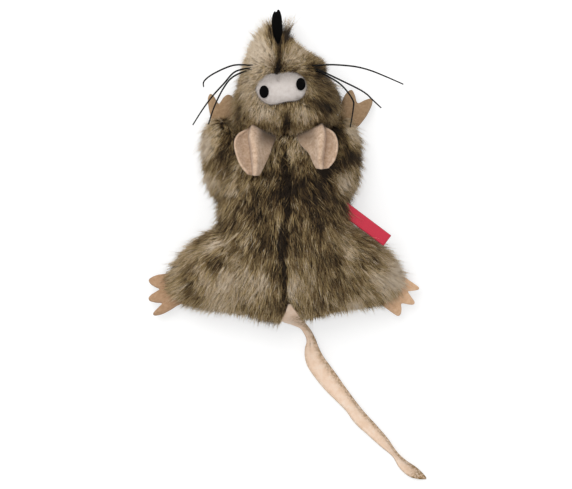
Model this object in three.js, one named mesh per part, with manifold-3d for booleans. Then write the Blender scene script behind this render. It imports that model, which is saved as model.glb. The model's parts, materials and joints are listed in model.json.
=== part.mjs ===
// A splayed plush mouse for cats, lying on its belly.
// Millimetres: X to the right as seen from above, Y towards the nose, Z up from the floor.
// While it is built, Y starts at the rump and X at the centre-back seam.
import * as THREE from 'three';
import { mergeVertices } from 'three/addons/utils/BufferGeometryUtils.js';
import Module from 'manifold-3d';

const wasm = await Module();
wasm.setup();

// Body and head bags
const bodyLength = 120;
const bodyWidth = 78;
const bodyHeight = 40;
const headLength = 68;
const headWidth = 59;
const headHeight = 44;
const headOverlap = 12;
const neckInset = 6;
const flatDepth = 0.5;
const backingThickness = 1.5;
const neckHoleRadius = 8;
const headFillInset = 10;

// Limbs
const armLength = 48;
const armWidth = 26;
const armHeight = 20;
const legLength = 51;
const legWidth = 56;
const legHeight = 28;
const limbLift = 0.8;

// Felt pieces
const pawThickness = 2.4;
const frontPawLength = 17;
const frontPawWidth = 16;
const hindPawLength = 15;
const hindPawWidth = 22;
const earLength = 30;
const earWidth = 20;
const earFold = 8;
const earRise = 17;
const earThickness = 1.6;
const noseLength = 22;
const noseWidth = 6.2;
const noseHeight = 4;
const patchThickness = 3;
const pupilWidth = 5.3;
const pupilLength = 7.3;
const pupilThickness = 1;

// Tail, label and whiskers
const tailReach = 97;
const tailWidth = 11.4;
const tailThickness = 1.6;
const labelLength = 37;
const labelWidth = 8;
const ribbonThickness = 0.4;
const labelLoop = 1.2;
const whiskerThickness = 0.7;

// Fits
const clearance = 0.3;
const overrun = 5;
const weld = 1e-4;

// Swing of each moving piece, in degrees: the least and the most, with the lying pose at 0
const neckSwingAngles = [-15, 15];
const armSwingAngles = [-8, 15];
const legSwingAngles = [-10, 18];
const frontPawSwingAngles = [-20, 20];
const hindPawSwingAngles = [-25, 25];
const earSwingAngles = [-10, 20];
const tailSwingAngles = [-20, 20];
const labelSwingAngles = [-8, 25];
const swingStepAngle = 7;

const bodySides = 22;
const headSides = 22;
const limbSides = 16;
const noseSides = 10;
const fillSides = 14;
const pupilSides = 24;
const whiskerSides = 5;
const whiskerSteps = 14;
const foldSteps = 4;
const roundness = 2.2;
const middleShare = 0.45;

// Rows of a stuffed form from its root end to its tip:
// place along the length, sideways shift and half width of the width, top and bottom of the height.
const bodyShares = [
  [0, 0.04, 0, 0.42, 0.42],
  [0.02, 0.03, 0.24, 0.62, 0.22],
  [0.07, 0.023, 0.37, 0.76, 0.1],
  [0.16, 0.02, 0.458, 0.92, 0.02],
  [0.31, 0.008, 0.49, 1, 0],
  [0.51, -0.008, 0.485, 0.97, 0],
  [0.64, -0.01, 0.48, 0.92, 0],
  [0.765, -0.004, 0.45, 0.82, 0.02],
  [0.865, 0.004, 0.39, 0.72, 0.08],
  [0.94, 0.004, 0.29, 0.6, 0.18],
  [0.98, 0.01, 0.16, 0.52, 0.3],
  [1, 0.01, 0, 0.42, 0.42],
];
const headShares = [
  [0, 0.02, 0, 0.42, 0.42],
  [0.03, 0.02, 0.24, 0.6, 0.25],
  [0.114, 0.025, 0.39, 0.8, 0.12],
  [0.228, 0.035, 0.48, 0.96, 0.05],
  [0.333, 0.035, 0.5, 1, 0.03],
  [0.43, 0.025, 0.48, 0.97, 0.03],
  [0.535, 0.01, 0.444, 0.9, 0.03],
  [0.64, -0.015, 0.389, 0.78, 0.04],
  [0.746, -0.06, 0.283, 0.64, 0.06],
  [0.851, -0.1, 0.192, 0.52, 0.1],
  [0.947, -0.086, 0.126, 0.42, 0.16],
  [0.985, -0.08, 0.06, 0.36, 0.24],
  [1, -0.08, 0, 0.3, 0.3],
];
const armShares = [
  [-0.04, 0, 0, 0.5, 0.5],
  [0, 0, 0.2, 0.75, 0.25],
  [0.08, 0, 0.36, 0.9, 0.1],
  [0.25, 0, 0.48, 1, 0.02],
  [0.5, 0, 0.5, 1, 0],
  [0.7, 0, 0.47, 0.92, 0.02],
  [0.84, 0, 0.35, 0.78, 0.08],
  [0.94, 0, 0.2, 0.64, 0.2],
  [1, 0, 0, 0.42, 0.42],
];
const legShares = [
  [-0.09, -0.07, 0, 0.5, 0.5],
  [-0.04, -0.07, 0.28, 0.85, 0.15],
  [0.08, -0.07, 0.46, 1, 0.02],
  [0.27, -0.07, 0.447, 1, 0],
  [0.57, -0.032, 0.33, 0.86, 0],
  [0.74, -0.032, 0.26, 0.72, 0.02],
  [0.85, -0.035, 0.2, 0.6, 0.06],
  [0.95, -0.02, 0.12, 0.46, 0.14],
  [1, -0.01, 0, 0.33, 0.33],
];
const noseShares = [
  [0, 0, 0, 0.5, 0.5],
  [0.06, 0, 0.26, 0.8, 0.2],
  [0.3, 0, 0.42, 1, 0],
  [0.62, 0, 0.5, 1, 0],
  [0.86, 0, 0.4, 0.9, 0.1],
  [0.96, 0, 0.22, 0.75, 0.25],
  [1, 0, 0, 0.5, 0.5],
];

// Where the limbs leave the body, as shares of its width and length, and the way that each points,
// in degrees from the nose's direction.
const armRootShares = { left: [-0.4, 0.6], right: [0.34, 0.6] };
const armAngle = { left: 12.1, right: -10.3 };
const legRootShares = { left: [-0.308, 0.295], right: [0.308, 0.295] };
const legAngle = { left: 111.2, right: -111.2 };
const legHingeShare = 0.17;
const armHingeShare = 0.06;
const labelRootShares = [0.41, 0.565];
const labelAngle = -126.9;
const labelLevelShare = 0.52;

// Outlines seen from above. Paws start at the limb's tip: across and along, as shares of paw size.
const frontPawShares = {
  left: [[-0.26, -0.35], [-0.36, 0.1], [-0.42, 0.55], [-0.26, 0.9], [-0.08, 0.7], [0.08, 0.58],
    [0.26, 0.74], [0.46, 0.88], [0.62, 0.6], [0.62, 0.12], [0.38, -0.35]],
  right: [[-0.22, -0.3], [-0.16, 0.2], [-0.04, 0.66], [0.18, 0.96], [0.36, 1.04], [0.44, 0.82],
    [0.56, 0.56], [0.84, 0.66], [1.1, 0.7], [1.06, 0.42], [0.8, 0], [0.42, -0.35]],
};
const hindPawShares = [[0.33, -0.25], [0.46, 0.08], [0.55, 0.48], [0.48, 0.74], [0.33, 0.56], [0.2, 0.43],
  [0.14, 0.7], [0, 0.97], [-0.15, 0.72], [-0.27, 0.5], [-0.38, 0.7], [-0.52, 0.97],
  [-0.61, 0.64], [-0.54, 0.2], [-0.36, -0.25]];
const hindPawAngle = { left: 108.4, right: -126 };
const patchShares = [[-0.289, 0.418], [-0.268, 0.491], [-0.202, 0.541], [-0.092, 0.552], [0.063, 0.574],
  [0.164, 0.546], [0.217, 0.459], [0.164, 0.345], [0.009, 0.318], [-0.145, 0.294], [-0.241, 0.338]];
const pupilShares = { left: [-0.212, 0.405], right: [0.16, 0.472] };
const noseRootShares = [-0.077, 0.81];
const noseLevelShare = 0.57;
const noseDroopAngle = -25;

// Rows of an ear from inside the head to the tip: outer edge, ridge and inner edge as shares of ear width
// and length, then rise and fold as shares of their own sizes.
const earShares = {
  left: [
    [-0.36, -0.36, -0.16, -0.34, 0.42, -0.14, -0.05, 0.3],
    [-0.44, -0.09, -0.22, -0.08, 0.385, 0.11, 0.05, 0.6],
    [-0.73, 0.1, -0.29, 0.15, 0.26, 0.35, 0.3, 1],
    [-0.82, 0.33, -0.21, 0.43, 0.2, 0.55, 0.55, 1],
    [-0.67, 0.66, -0.19, 0.69, 0.045, 0.75, 0.8, 0.8],
    [-0.36, 0.89, -0.23, 0.91, -0.09, 0.906, 1, 0.3],
  ],
  right: [
    [0.36, -0.36, 0.16, -0.34, -0.42, -0.14, -0.05, 0.3],
    [0.46, -0.11, 0.26, -0.1, -0.4, 0.106, 0.05, 0.6],
    [0.7, 0.12, 0.34, 0.136, -0.3, 0.32, 0.3, 1],
    [0.79, 0.366, 0.3, 0.38, -0.055, 0.504, 0.55, 1],
    [0.71, 0.58, 0.26, 0.58, 0.06, 0.66, 0.8, 0.8],
    [0.455, 0.76, 0.3, 0.79, 0.15, 0.77, 1, 0.3],
  ],
};
const earRootShares = { left: [-0.232, 0.066], right: [0.263, 0.07] };
const earAngle = { left: 156.4, right: -157.5 };
const earLevelShare = 0.7;
const cupShare = 0.25;
const rimShare = 0.6;
const slopeShare = 0.45;

// Rows of the tail from its sewn-in root: place as shares of its reach, width, roll in degrees
// and level of the middle as a share of the body's height, where it isn't down on the floor.
const tailShares = [
  [-0.003, 0.068, 0.35, 0, 0.8],
  [0.0, 0.031, 0.8, 0, 0.7],
  [0.012, -0.009, 0.9, 0, 0.52],
  [0.056, -0.049, 0.6, 10, 0.24],
  [0.086, -0.08, 0.5, 30, 0.08],
  [0.12, -0.13, 0.5, 35, 0],
  [0.139, -0.204, 0.78, 22, 0],
  [0.173, -0.296, 0.98, 8, 0],
  [0.247, -0.401, 1, 0, 0],
  [0.318, -0.481, 0.86, 12, 0],
  [0.383, -0.556, 0.76, 22, 0],
  [0.438, -0.63, 0.78, 12, 0],
  [0.512, -0.704, 0.7, 15, 0],
  [0.586, -0.778, 0.62, 30, 0],
  [0.654, -0.852, 0.5, 55, 0],
  [0.707, -0.917, 0.6, 30, 0],
  [0.759, -0.96, 0.62, 12, 0],
  [0.843, -1.006, 0.16, 0, 0],
];
const tailHingeShares = [0.035, 0.02];

// Whisker points as shares of head width, length and height, from inside the head outwards.
const whiskerShares = {
  whisker_left_upper: [[-0.28, 0.627, 0.5], [-0.354, 0.627, 0.59], [-0.525, 0.627, 0.66],
    [-0.72, 0.555, 0.76], [-0.818, 0.488, 0.82], [-0.824, 0.435, 0.85]],
  whisker_left_middle: [[-0.28, 0.6, 0.46], [-0.367, 0.6, 0.55], [-0.508, 0.57, 0.64],
    [-0.621, 0.465, 0.74], [-0.734, 0.355, 0.82], [-0.834, 0.237, 0.88], [-0.933, 0.1, 0.92]],
  whisker_left_lower: [[-0.28, 0.575, 0.42], [-0.367, 0.575, 0.5], [-0.522, 0.53, 0.59],
    [-0.621, 0.43, 0.7], [-0.713, 0.269, 0.82], [-0.774, 0.109, 0.92]],
  whisker_right_upper: [[0.2, 0.623, 0.54], [0.283, 0.623, 0.63], [0.47, 0.632, 0.7], [0.695, 0.617, 0.78],
    [0.856, 0.583, 0.84], [1.017, 0.527, 0.88], [1.198, 0.458, 0.9]],
  whisker_right_middle: [[0.28, 0.6, 0.48], [0.361, 0.583, 0.57], [0.574, 0.492, 0.7],
    [0.791, 0.395, 0.8], [0.896, 0.314, 0.86], [0.973, 0.251, 0.9]],
  whisker_right_lower: [[0.28, 0.575, 0.42], [0.361, 0.56, 0.5], [0.556, 0.465, 0.62],
    [0.683, 0.328, 0.76], [0.691, 0.244, 0.84], [0.659, 0.08, 0.92]],
};

const up = new THREE.Vector3(0, 0, 1);
const sides = ['left', 'right'];
const sideSign = { left: 1, right: -1 };
const radians = THREE.MathUtils.degToRad;

const furPlush = new THREE.MeshStandardMaterial({ color: 0x7d6a52, roughness: 1, metalness: 0 });
const feltSkin = new THREE.MeshStandardMaterial({ color: 0xcfab8f, roughness: 0.95, metalness: 0 });
const feltWhite = new THREE.MeshStandardMaterial({ color: 0xdedbd8, roughness: 0.95, metalness: 0 });
const feltBlack = new THREE.MeshStandardMaterial({ color: 0x15130f, roughness: 0.9, metalness: 0 });
const suede = new THREE.MeshStandardMaterial({ color: 0xdcb98f, roughness: 0.9, metalness: 0 });
const wovenRed = new THREE.MeshStandardMaterial({ color: 0xb02235, roughness: 0.7, metalness: 0 });
const thread = new THREE.MeshStandardMaterial({ color: 0x17140f, roughness: 0.5, metalness: 0 });
const fibreFill = new THREE.MeshStandardMaterial({ color: 0xf2efe8, roughness: 1, metalness: 0 });

// Cubic curve through the rows of a table, with extra rows between each two.
function smoothRows(rows, extra) {
  const smooth = [];
  for (let i = 0; i < rows.length - 1; i++) {
    const before = rows[Math.max(i - 1, 0)];
    const after = rows[Math.min(i + 2, rows.length - 1)];
    for (let step = 0; step <= extra; step++) {
      const t = step / (extra + 1);
      smooth.push(rows[i].map((value, k) => {
        const next = rows[i + 1][k];
        const slope = (next - before[k]) / 2;
        const nextSlope = (after[k] - value) / 2;
        const rise = next - value;
        return value + t * (slope + t * (3 * rise - 2 * slope - nextSlope
          + t * (slope + nextSlope - 2 * rise)));
      }));
    }
  }
  smooth.push(rows[rows.length - 1]);
  return smooth;
}

// A closed surface with its faces turned outwards.
function closedSurface(points, faces) {
  let volume = 0;
  for (const [a, b, c] of faces) {
    volume += points[a].dot(new THREE.Vector3().crossVectors(points[b], points[c]));
  }
  const turned = volume < 0 ? faces.map(([a, b, c]) => [a, c, b]) : faces;
  const geometry = new THREE.BufferGeometry().setFromPoints(points);
  geometry.setIndex(turned.flat());
  geometry.computeVertexNormals();
  return geometry;
}

// A stuffed form: rounded rings along Y, closed by a point at each end. grow moves its surface outwards.
function stuffed({ shares, length, width, height, sign, ringSides, extraRows = 1 }, grow = 0) {
  const rows = smoothRows(shares, extraRows);
  const start = rows[0][0];
  const end = rows[rows.length - 1][0];
  const points = [];
  for (const [along, sideways, half, top, bottom] of rows) {
    const lengthwise = 2 * (along - start) / (end - start) - 1;
    const y = along * length + grow * lengthwise;
    const x = sign * sideways * width;
    const pole = half === 0;
    const ringHalf = Math.max(half * width + grow, pole ? 0 : weld);
    const middle = (bottom + (top - bottom) * middleShare) * height;
    const above = Math.max(top * height - middle + grow, weld);
    const below = Math.max(middle - bottom * height + grow, weld);
    if (pole) {
      points.push(new THREE.Vector3(x, y, middle));
      continue;
    }
    for (let k = 0; k < ringSides; k++) {
      const turn = 2 * Math.PI * k / ringSides;
      const across = Math.sign(Math.cos(turn)) * Math.abs(Math.cos(turn)) ** (2 / roundness);
      const rise = Math.sign(Math.sin(turn)) * Math.abs(Math.sin(turn)) ** (2 / roundness);
      points.push(new THREE.Vector3(x + ringHalf * across, y, middle + rise * (rise > 0 ? above : below)));
    }
  }
  const faces = [];
  const last = points.length - 1;
  const rings = (points.length - 2) / ringSides;
  for (let k = 0; k < ringSides; k++) {
    const next = (k + 1) % ringSides;
    faces.push([0, 1 + k, 1 + next]);
    faces.push([last, last - ringSides + next, last - ringSides + k]);
    for (let ring = 0; ring < rings - 1; ring++) {
      const here = 1 + ring * ringSides;
      const there = here + ringSides;
      faces.push([here + k, there + k, here + next]);
      faces.push([here + next, there + k, there + next]);
    }
  }
  return closedSurface(points, faces);
}

// A closed sheet between two grids of points with the same rows and columns.
function sheetBetween(upper, lower) {
  const rows = upper.length;
  const columns = upper[0].length;
  const points = [...upper.flat(), ...lower.flat()];
  const under = rows * columns;
  const faces = [];
  const quad = (a, b, c, d) => faces.push([a, b, c], [a, c, d]);
  for (let i = 0; i < rows - 1; i++) {
    for (let j = 0; j < columns - 1; j++) {
      const corner = i * columns + j;
      quad(corner, corner + 1, corner + columns + 1, corner + columns);
      quad(under + corner, under + corner + columns, under + corner + columns + 1, under + corner + 1);
    }
  }
  for (let i = 0; i < rows - 1; i++) {
    const first = i * columns;
    const end = first + columns - 1;
    quad(first, first + columns, under + first + columns, under + first);
    quad(end + columns, end, under + end, under + end + columns);
  }
  for (let j = 0; j < columns - 1; j++) {
    const tip = (rows - 1) * columns + j;
    quad(j + 1, j, under + j, under + j + 1);
    quad(tip, tip + 1, under + tip + 1, under + tip);
  }
  return closedSurface(points, faces);
}

function solidOf(geometry) {
  const bare = geometry.clone();
  bare.deleteAttribute('normal');
  bare.deleteAttribute('uv');
  const merged = mergeVertices(bare, weld);
  return new wasm.Manifold(new wasm.Mesh({
    numProp: 3,
    vertProperties: new Float32Array(merged.attributes.position.array),
    triVerts: new Uint32Array(merged.index.array),
  }));
}

function geometryOf(solid) {
  const { vertProperties, triVerts } = solid.getMesh();
  const geometry = new THREE.BufferGeometry();
  geometry.setAttribute('position', new THREE.BufferAttribute(vertProperties, 3));
  geometry.setIndex(new THREE.BufferAttribute(triVerts, 1));
  geometry.computeVertexNormals();
  return geometry;
}

// Cuts away everything that the tool passes over while the piece swings about its hinge.
function clearSwing(piece, tool, pivot, axis, [least, most]) {
  const steps = Math.ceil((most - least) / swingStepAngle);
  let cut = piece;
  for (let step = 0; step <= steps; step++) {
    const turn = radians(least + (most - least) * step / steps);
    const swing = new THREE.Matrix4().makeTranslation(pivot)
      .multiply(new THREE.Matrix4().makeRotationAxis(axis, -turn))
      .multiply(new THREE.Matrix4().makeTranslation(pivot.clone().negate()));
    cut = cut.subtract(solidOf(tool.clone().applyMatrix4(swing)));
  }
  return cut;
}

function headingTurn(degrees) {
  return new THREE.Matrix4().makeRotationZ(radians(degrees));
}

// The level axis across a piece that points along its heading. Turning about it lifts the tip.
function crossAxis(degrees) {
  return new THREE.Vector3(1, 0, 0).applyMatrix4(headingTurn(degrees));
}

const toy = new THREE.Group();

function addPiece(name, solid, material, pivot = new THREE.Vector3()) {
  const geometry = geometryOf(solid).translate(-pivot.x, -pivot.y, -pivot.z);
  const mesh = new THREE.Mesh(geometry, material);
  mesh.name = name;
  mesh.position.copy(pivot);
  toy.add(mesh);
}

// Body: a fur bag, cut flat where it lies on the floor and open at the neck, and its filling
const bodyForm = {
  shares: bodyShares, length: bodyLength, width: bodyWidth, height: bodyHeight,
  sign: 1, ringSides: bodySides,
};
const coarse = { ringSides: fillSides, extraRows: 0 };
const bodySurface = (grow) => stuffed(bodyForm, grow).translate(0, 0, -flatDepth);
const bodyInside = (grow) => stuffed({ ...bodyForm, ...coarse }, grow).translate(0, 0, -flatDepth);
const neckPivot = new THREE.Vector3(0, bodyLength - neckInset, bodyHeight * bodyShares.at(-1)[3]);
const neckHole = new THREE.CylinderGeometry(neckHoleRadius, neckHoleRadius, headLength, bodySides)
  .translate(neckPivot.x, neckPivot.y, neckPivot.z);
const underFloor = new THREE.BoxGeometry(bodyWidth + overrun, bodyLength + overrun, overrun)
  .translate(0, bodyLength / 2, -overrun / 2);
const neckCut = solidOf(neckHole);
const bodyBag = solidOf(bodySurface(0)).subtract(solidOf(underFloor))
  .subtract(solidOf(bodyInside(-backingThickness)))
  .subtract(neckCut);
addPiece('body', bodyBag, furPlush);
addPiece('body_stuffing', solidOf(bodyInside(-backingThickness - clearance)), fibreFill);
const bodyTool = bodySurface(clearance);

// Head: its own bag with a cup at the rear that closes over the neck
const headStart = bodyLength - headOverlap;
const headForm = {
  shares: headShares, length: headLength, width: headWidth, height: headHeight,
  sign: 1, ringSides: headSides,
};
const headSurface = (grow) => stuffed(headForm, grow).translate(0, headStart, 0);
const headInside = (grow) => stuffed({ ...headForm, ...coarse }, grow).translate(0, headStart, 0);
const headFillStart = neckPivot.y + neckInset + headFillInset;
const fillBlock = new THREE.BoxGeometry(headWidth + overrun, headLength, headHeight + overrun);
const behindFill = (gap) => solidOf(fillBlock.clone()
  .translate(0, headFillStart + gap - headLength / 2, headHeight / 2));
const headBag = clearSwing(solidOf(headSurface(0)), bodyTool, neckPivot, crossAxis(0), neckSwingAngles)
  .subtract(solidOf(headInside(-backingThickness)).subtract(behindFill(0)))
  .subtract(neckCut);
addPiece('head', headBag, furPlush, neckPivot);
const headFill = solidOf(headInside(-backingThickness - clearance)).subtract(behindFill(clearance));
addPiece('head_stuffing', headFill, fibreFill, neckPivot);
const headTool = headSurface(clearance);

// A place on the head from shares of its width, length and height
function onHead([across, along], level) {
  return new THREE.Vector3(across * headWidth, headStart + along * headLength, level * headHeight);
}

function smoothShape(points, extra) {
  const curve = new THREE.CatmullRomCurve3(points.map(([x, y]) => new THREE.Vector3(x, y, 0)), true);
  return new THREE.Shape(curve.getPoints(points.length * extra).map(({ x, y }) => new THREE.Vector2(x, y)));
}

// Felt eye patch and pupils, which follow the head's surface
function overHead(shape, start, end) {
  const column = new THREE.ExtrudeGeometry(shape, { depth: headHeight, bevelEnabled: false })
    .translate(0, 0, headHeight / 2);
  return solidOf(column).intersect(solidOf(headSurface(end))).subtract(solidOf(headSurface(start)));
}
const patchOutline = patchShares.map((place) => onHead(place, 0).toArray());
const patchTop = clearance + patchThickness;
addPiece('eye_patch', overHead(smoothShape(patchOutline, 3), clearance, patchTop), feltWhite, neckPivot);
for (const side of sides) {
  const centre = onHead(pupilShares[side], 0);
  const oval = new THREE.EllipseCurve(centre.x, centre.y, pupilWidth / 2, pupilLength / 2);
  const pupilShape = new THREE.Shape(oval.getPoints(pupilSides).slice(0, -1));
  const pupil = overHead(pupilShape, patchTop + clearance, patchTop + clearance + pupilThickness);
  addPiece(`pupil_${side}`, pupil, feltBlack, neckPivot);
}

// Nose: a felt leaf lying down the front of the snout
const noseRoot = onHead(noseRootShares, noseLevelShare);
const noseForm = {
  shares: noseShares, length: noseLength, width: noseWidth, height: noseHeight,
  sign: 1, ringSides: noseSides,
};
const noseLeaf = stuffed(noseForm).rotateX(radians(noseDroopAngle))
  .translate(noseRoot.x, noseRoot.y, noseRoot.z - noseHeight / 2);
addPiece('nose', solidOf(noseLeaf).subtract(solidOf(headTool)), feltBlack, neckPivot);

// Ears: felt folded lengthwise, with a cup that opens outwards
for (const side of sides) {
  const root = onHead(earRootShares[side], earLevelShare);
  const pointAt = (across, along, rise, fold) => new THREE.Vector3(
    root.x + across * earWidth,
    root.y - along * earLength,
    root.z + rise * earRise + fold * earFold,
  );
  const grid = smoothRows(earShares[side], 1).map(([ox, oy, rx, ry, ix, iy, rise, fold]) => {
    const columns = [[ox, oy, rimShare], [(ox + rx) / 2, (oy + ry) / 2, cupShare], [rx, ry, 1],
      [(rx + ix) / 2, (ry + iy) / 2, slopeShare], [ix, iy, 0]];
    return smoothRows(columns, 1).map(([x, y, share]) => pointAt(x, y, rise, share * fold));
  });
  const under = grid.map((row) => row.map((point) => point.clone().addScaledVector(up, -earThickness)));
  const ear = clearSwing(solidOf(sheetBetween(grid, under)), headTool, root, crossAxis(earAngle[side]),
    earSwingAngles);
  addPiece(`ear_${side}`, ear, feltSkin, root);
}

// A flat felt paw from its outline, pointing along its heading at the tip of a limb
function feltPaw(outline, width, length, heading, tip) {
  const shape = smoothShape(outline.map(([across, along]) => [across * width, along * length]), 2);
  return new THREE.ExtrudeGeometry(shape, { depth: pawThickness, bevelEnabled: false })
    .translate(0, 0, -pawThickness / 2)
    .applyMatrix4(headingTurn(heading))
    .translate(tip.x, tip.y, tip.z);
}

// Limbs: each is cut by the body over its whole swing, and each paw by its limb
function limbSurface(form, heading, root, grow) {
  return stuffed(form, grow).applyMatrix4(headingTurn(heading)).translate(root.x, root.y, limbLift);
}
function limbTip({ shares, length, width, height, sign }, heading, root) {
  const [along, sideways, , top] = shares.at(-1);
  return new THREE.Vector3(sign * sideways * width, along * length, top * height)
    .applyMatrix4(headingTurn(heading))
    .add(new THREE.Vector3(root.x, root.y, limbLift));
}
function limbPivot({ length }, hingeShare, heading, root) {
  return new THREE.Vector3(0, hingeShare * length, 0).applyMatrix4(headingTurn(heading)).add(root);
}
for (const side of sides) {
  const sign = sideSign[side];
  const armForm = {
    shares: armShares, length: armLength, width: armWidth, height: armHeight, sign, ringSides: limbSides,
  };
  const armTurn = armAngle[side];
  const [armX, armY] = armRootShares[side];
  const armRoot = new THREE.Vector3(armX * bodyWidth, armY * bodyLength, limbLift + armHeight * middleShare);
  const armPivot = limbPivot(armForm, armHingeShare, armTurn, armRoot);
  const arm = solidOf(limbSurface(armForm, armTurn, armRoot, 0));
  addPiece(`arm_${side}`, clearSwing(arm, bodyTool, armPivot, crossAxis(armTurn), armSwingAngles),
    furPlush, armPivot);

  const wrist = limbTip(armForm, armTurn, armRoot);
  const armTool = limbSurface(armForm, armTurn, armRoot, clearance);
  const frontPaw = solidOf(feltPaw(frontPawShares[side], frontPawWidth, frontPawLength, 0, wrist));
  const bentPaw = clearSwing(frontPaw, armTool, wrist, crossAxis(armTurn), frontPawSwingAngles);
  addPiece(`front_paw_${side}`, bentPaw, feltSkin, wrist);

  const legForm = {
    shares: legShares, length: legLength, width: legWidth, height: legHeight, sign, ringSides: limbSides,
  };
  const legTurn = legAngle[side];
  const [legX, legY] = legRootShares[side];
  const legRoot = new THREE.Vector3(legX * bodyWidth, legY * bodyLength, limbLift + legHeight / 2);
  const legPivot = limbPivot(legForm, legHingeShare, legTurn, legRoot);
  const leg = solidOf(limbSurface(legForm, legTurn, legRoot, 0));
  addPiece(`leg_${side}`, clearSwing(leg, bodyTool, legPivot, crossAxis(legTurn), legSwingAngles),
    furPlush, legPivot);

  const ankle = limbTip(legForm, legTurn, legRoot);
  const legTool = limbSurface(legForm, legTurn, legRoot, clearance);
  const toes = side === 'left' ? hindPawShares : hindPawShares.map(([x, y]) => [-x, y]).reverse();
  const hindPaw = solidOf(feltPaw(toes, hindPawWidth, hindPawLength, hindPawAngle[side], ankle));
  addPiece(`hind_paw_${side}`,
    clearSwing(hindPaw, legTool, ankle, crossAxis(hindPawAngle[side]), hindPawSwingAngles), feltSkin, ankle);
}

// Tail: a suede strip that lies on the rump, drops to the floor and turns over along its way
const tailRows = smoothRows(tailShares, 1).map(([x, y, width, roll, level]) => {
  const half = Math.max(width, 0) * tailWidth / 2;
  const onFloor = clearance + half * Math.abs(Math.sin(radians(roll))) + tailThickness / 2;
  const z = Math.max(level * bodyHeight, onFloor);
  return { point: new THREE.Vector3(x * tailReach, y * tailReach, z), half, roll };
});
const tailStart = new THREE.Vector3(bodyShares[0][1] * bodyWidth, 0, 0);
const tailUpper = [];
const tailLower = [];
tailRows.forEach(({ point, half, roll }, i) => {
  const behind = tailRows[Math.max(i - 1, 0)].point;
  const ahead = tailRows[Math.min(i + 1, tailRows.length - 1)].point;
  const along = ahead.clone().sub(behind).normalize();
  const across = new THREE.Vector3().crossVectors(along, up).normalize();
  across.applyAxisAngle(along, radians(roll));
  const face = new THREE.Vector3().crossVectors(across, along).setLength(tailThickness / 2);
  const middle = point.clone().add(tailStart);
  const left = middle.clone().addScaledVector(across, -half);
  const right = middle.clone().addScaledVector(across, half);
  tailUpper.push([left.clone().add(face), right.clone().add(face)]);
  tailLower.push([left.sub(face), right.sub(face)]);
});
const [tailHingeX, tailHingeY] = tailHingeShares;
const tailPivot = new THREE.Vector3(tailHingeX * bodyWidth, tailHingeY * bodyLength, bodyHeight / 2);
const tailStrip = solidOf(sheetBetween(tailUpper, tailLower));
const tail = clearSwing(tailStrip, bodyTool, tailPivot, up, tailSwingAngles);
addPiece('tail', tail, suede, tailPivot);

// Label: a ribbon folded into a flat loop and sewn into the side seam
const loopDepth = 2 * ribbonThickness + labelLoop;
const loopSlot = labelLength - ribbonThickness;
const foldCentre = labelLength - loopDepth / 2;
const loopShape = new THREE.Shape();
loopShape.moveTo(0, 0);
loopShape.lineTo(foldCentre, 0);
loopShape.absarc(foldCentre, loopDepth / 2, loopDepth / 2, -Math.PI / 2, Math.PI / 2, false);
loopShape.lineTo(0, loopDepth);
loopShape.lineTo(0, loopDepth - ribbonThickness);
loopShape.lineTo(loopSlot - labelLoop / 2, loopDepth - ribbonThickness);
loopShape.absarc(loopSlot - labelLoop / 2, loopDepth / 2, labelLoop / 2, Math.PI / 2, -Math.PI / 2, true);
loopShape.lineTo(0, ribbonThickness);
const labelRoot = new THREE.Vector3(labelRootShares[0] * bodyWidth, labelRootShares[1] * bodyLength,
  labelLevelShare * bodyHeight);
const ribbon = { depth: labelWidth, bevelEnabled: false, curveSegments: foldSteps };
const labelForm = new THREE.ExtrudeGeometry(loopShape, ribbon)
  .translate(0, 0, -labelWidth / 2)
  .rotateX(Math.PI / 2)
  .rotateZ(Math.PI / 2)
  .applyMatrix4(headingTurn(labelAngle))
  .translate(labelRoot.x, labelRoot.y, labelRoot.z);
const label = clearSwing(solidOf(labelForm), bodyTool, labelRoot, crossAxis(labelAngle), labelSwingAngles);
addPiece('side_label', label, wovenRed, labelRoot);

// Whiskers: stiff threads that come out of the snout's sides
for (const [name, shares] of Object.entries(whiskerShares)) {
  const path = new THREE.CatmullRomCurve3(shares.map(([x, y, level]) => onHead([x, y], level)));
  const section = new THREE.Shape();
  section.absarc(0, 0, whiskerThickness / 2, 0, 2 * Math.PI, false);
  const ring = new THREE.Shape(section.getSpacedPoints(whiskerSides).slice(0, -1));
  const whisker = new THREE.ExtrudeGeometry(ring, { steps: whiskerSteps, extrudePath: path });
  addPiece(name, solidOf(whisker).subtract(solidOf(headTool)), thread, neckPivot);
}

// The middle of the whole toy's footprint becomes the origin.
const extent = new THREE.Box3().setFromObject(toy);
const centre = extent.getCenter(new THREE.Vector3());
toy.position.set(-centre.x, -centre.y, -extent.min.z);

export default toy;
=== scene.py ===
import json
import math
import bpy
import numpy as np
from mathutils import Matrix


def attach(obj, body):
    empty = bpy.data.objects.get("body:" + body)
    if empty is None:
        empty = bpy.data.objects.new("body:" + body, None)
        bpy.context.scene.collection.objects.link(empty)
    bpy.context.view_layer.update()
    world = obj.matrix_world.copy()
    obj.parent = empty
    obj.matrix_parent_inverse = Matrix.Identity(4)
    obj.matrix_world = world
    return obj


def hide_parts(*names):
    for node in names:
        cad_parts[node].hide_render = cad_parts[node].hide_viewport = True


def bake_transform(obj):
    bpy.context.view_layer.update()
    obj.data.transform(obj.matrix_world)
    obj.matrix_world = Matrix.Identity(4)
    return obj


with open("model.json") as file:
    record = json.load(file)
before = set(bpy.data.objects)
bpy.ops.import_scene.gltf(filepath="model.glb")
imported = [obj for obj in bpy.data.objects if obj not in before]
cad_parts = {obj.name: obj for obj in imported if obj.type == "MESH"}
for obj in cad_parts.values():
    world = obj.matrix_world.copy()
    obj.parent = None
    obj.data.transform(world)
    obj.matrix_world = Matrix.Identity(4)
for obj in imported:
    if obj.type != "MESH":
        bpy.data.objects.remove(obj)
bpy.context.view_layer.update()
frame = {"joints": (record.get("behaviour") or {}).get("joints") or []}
mm = 0.001
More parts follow.
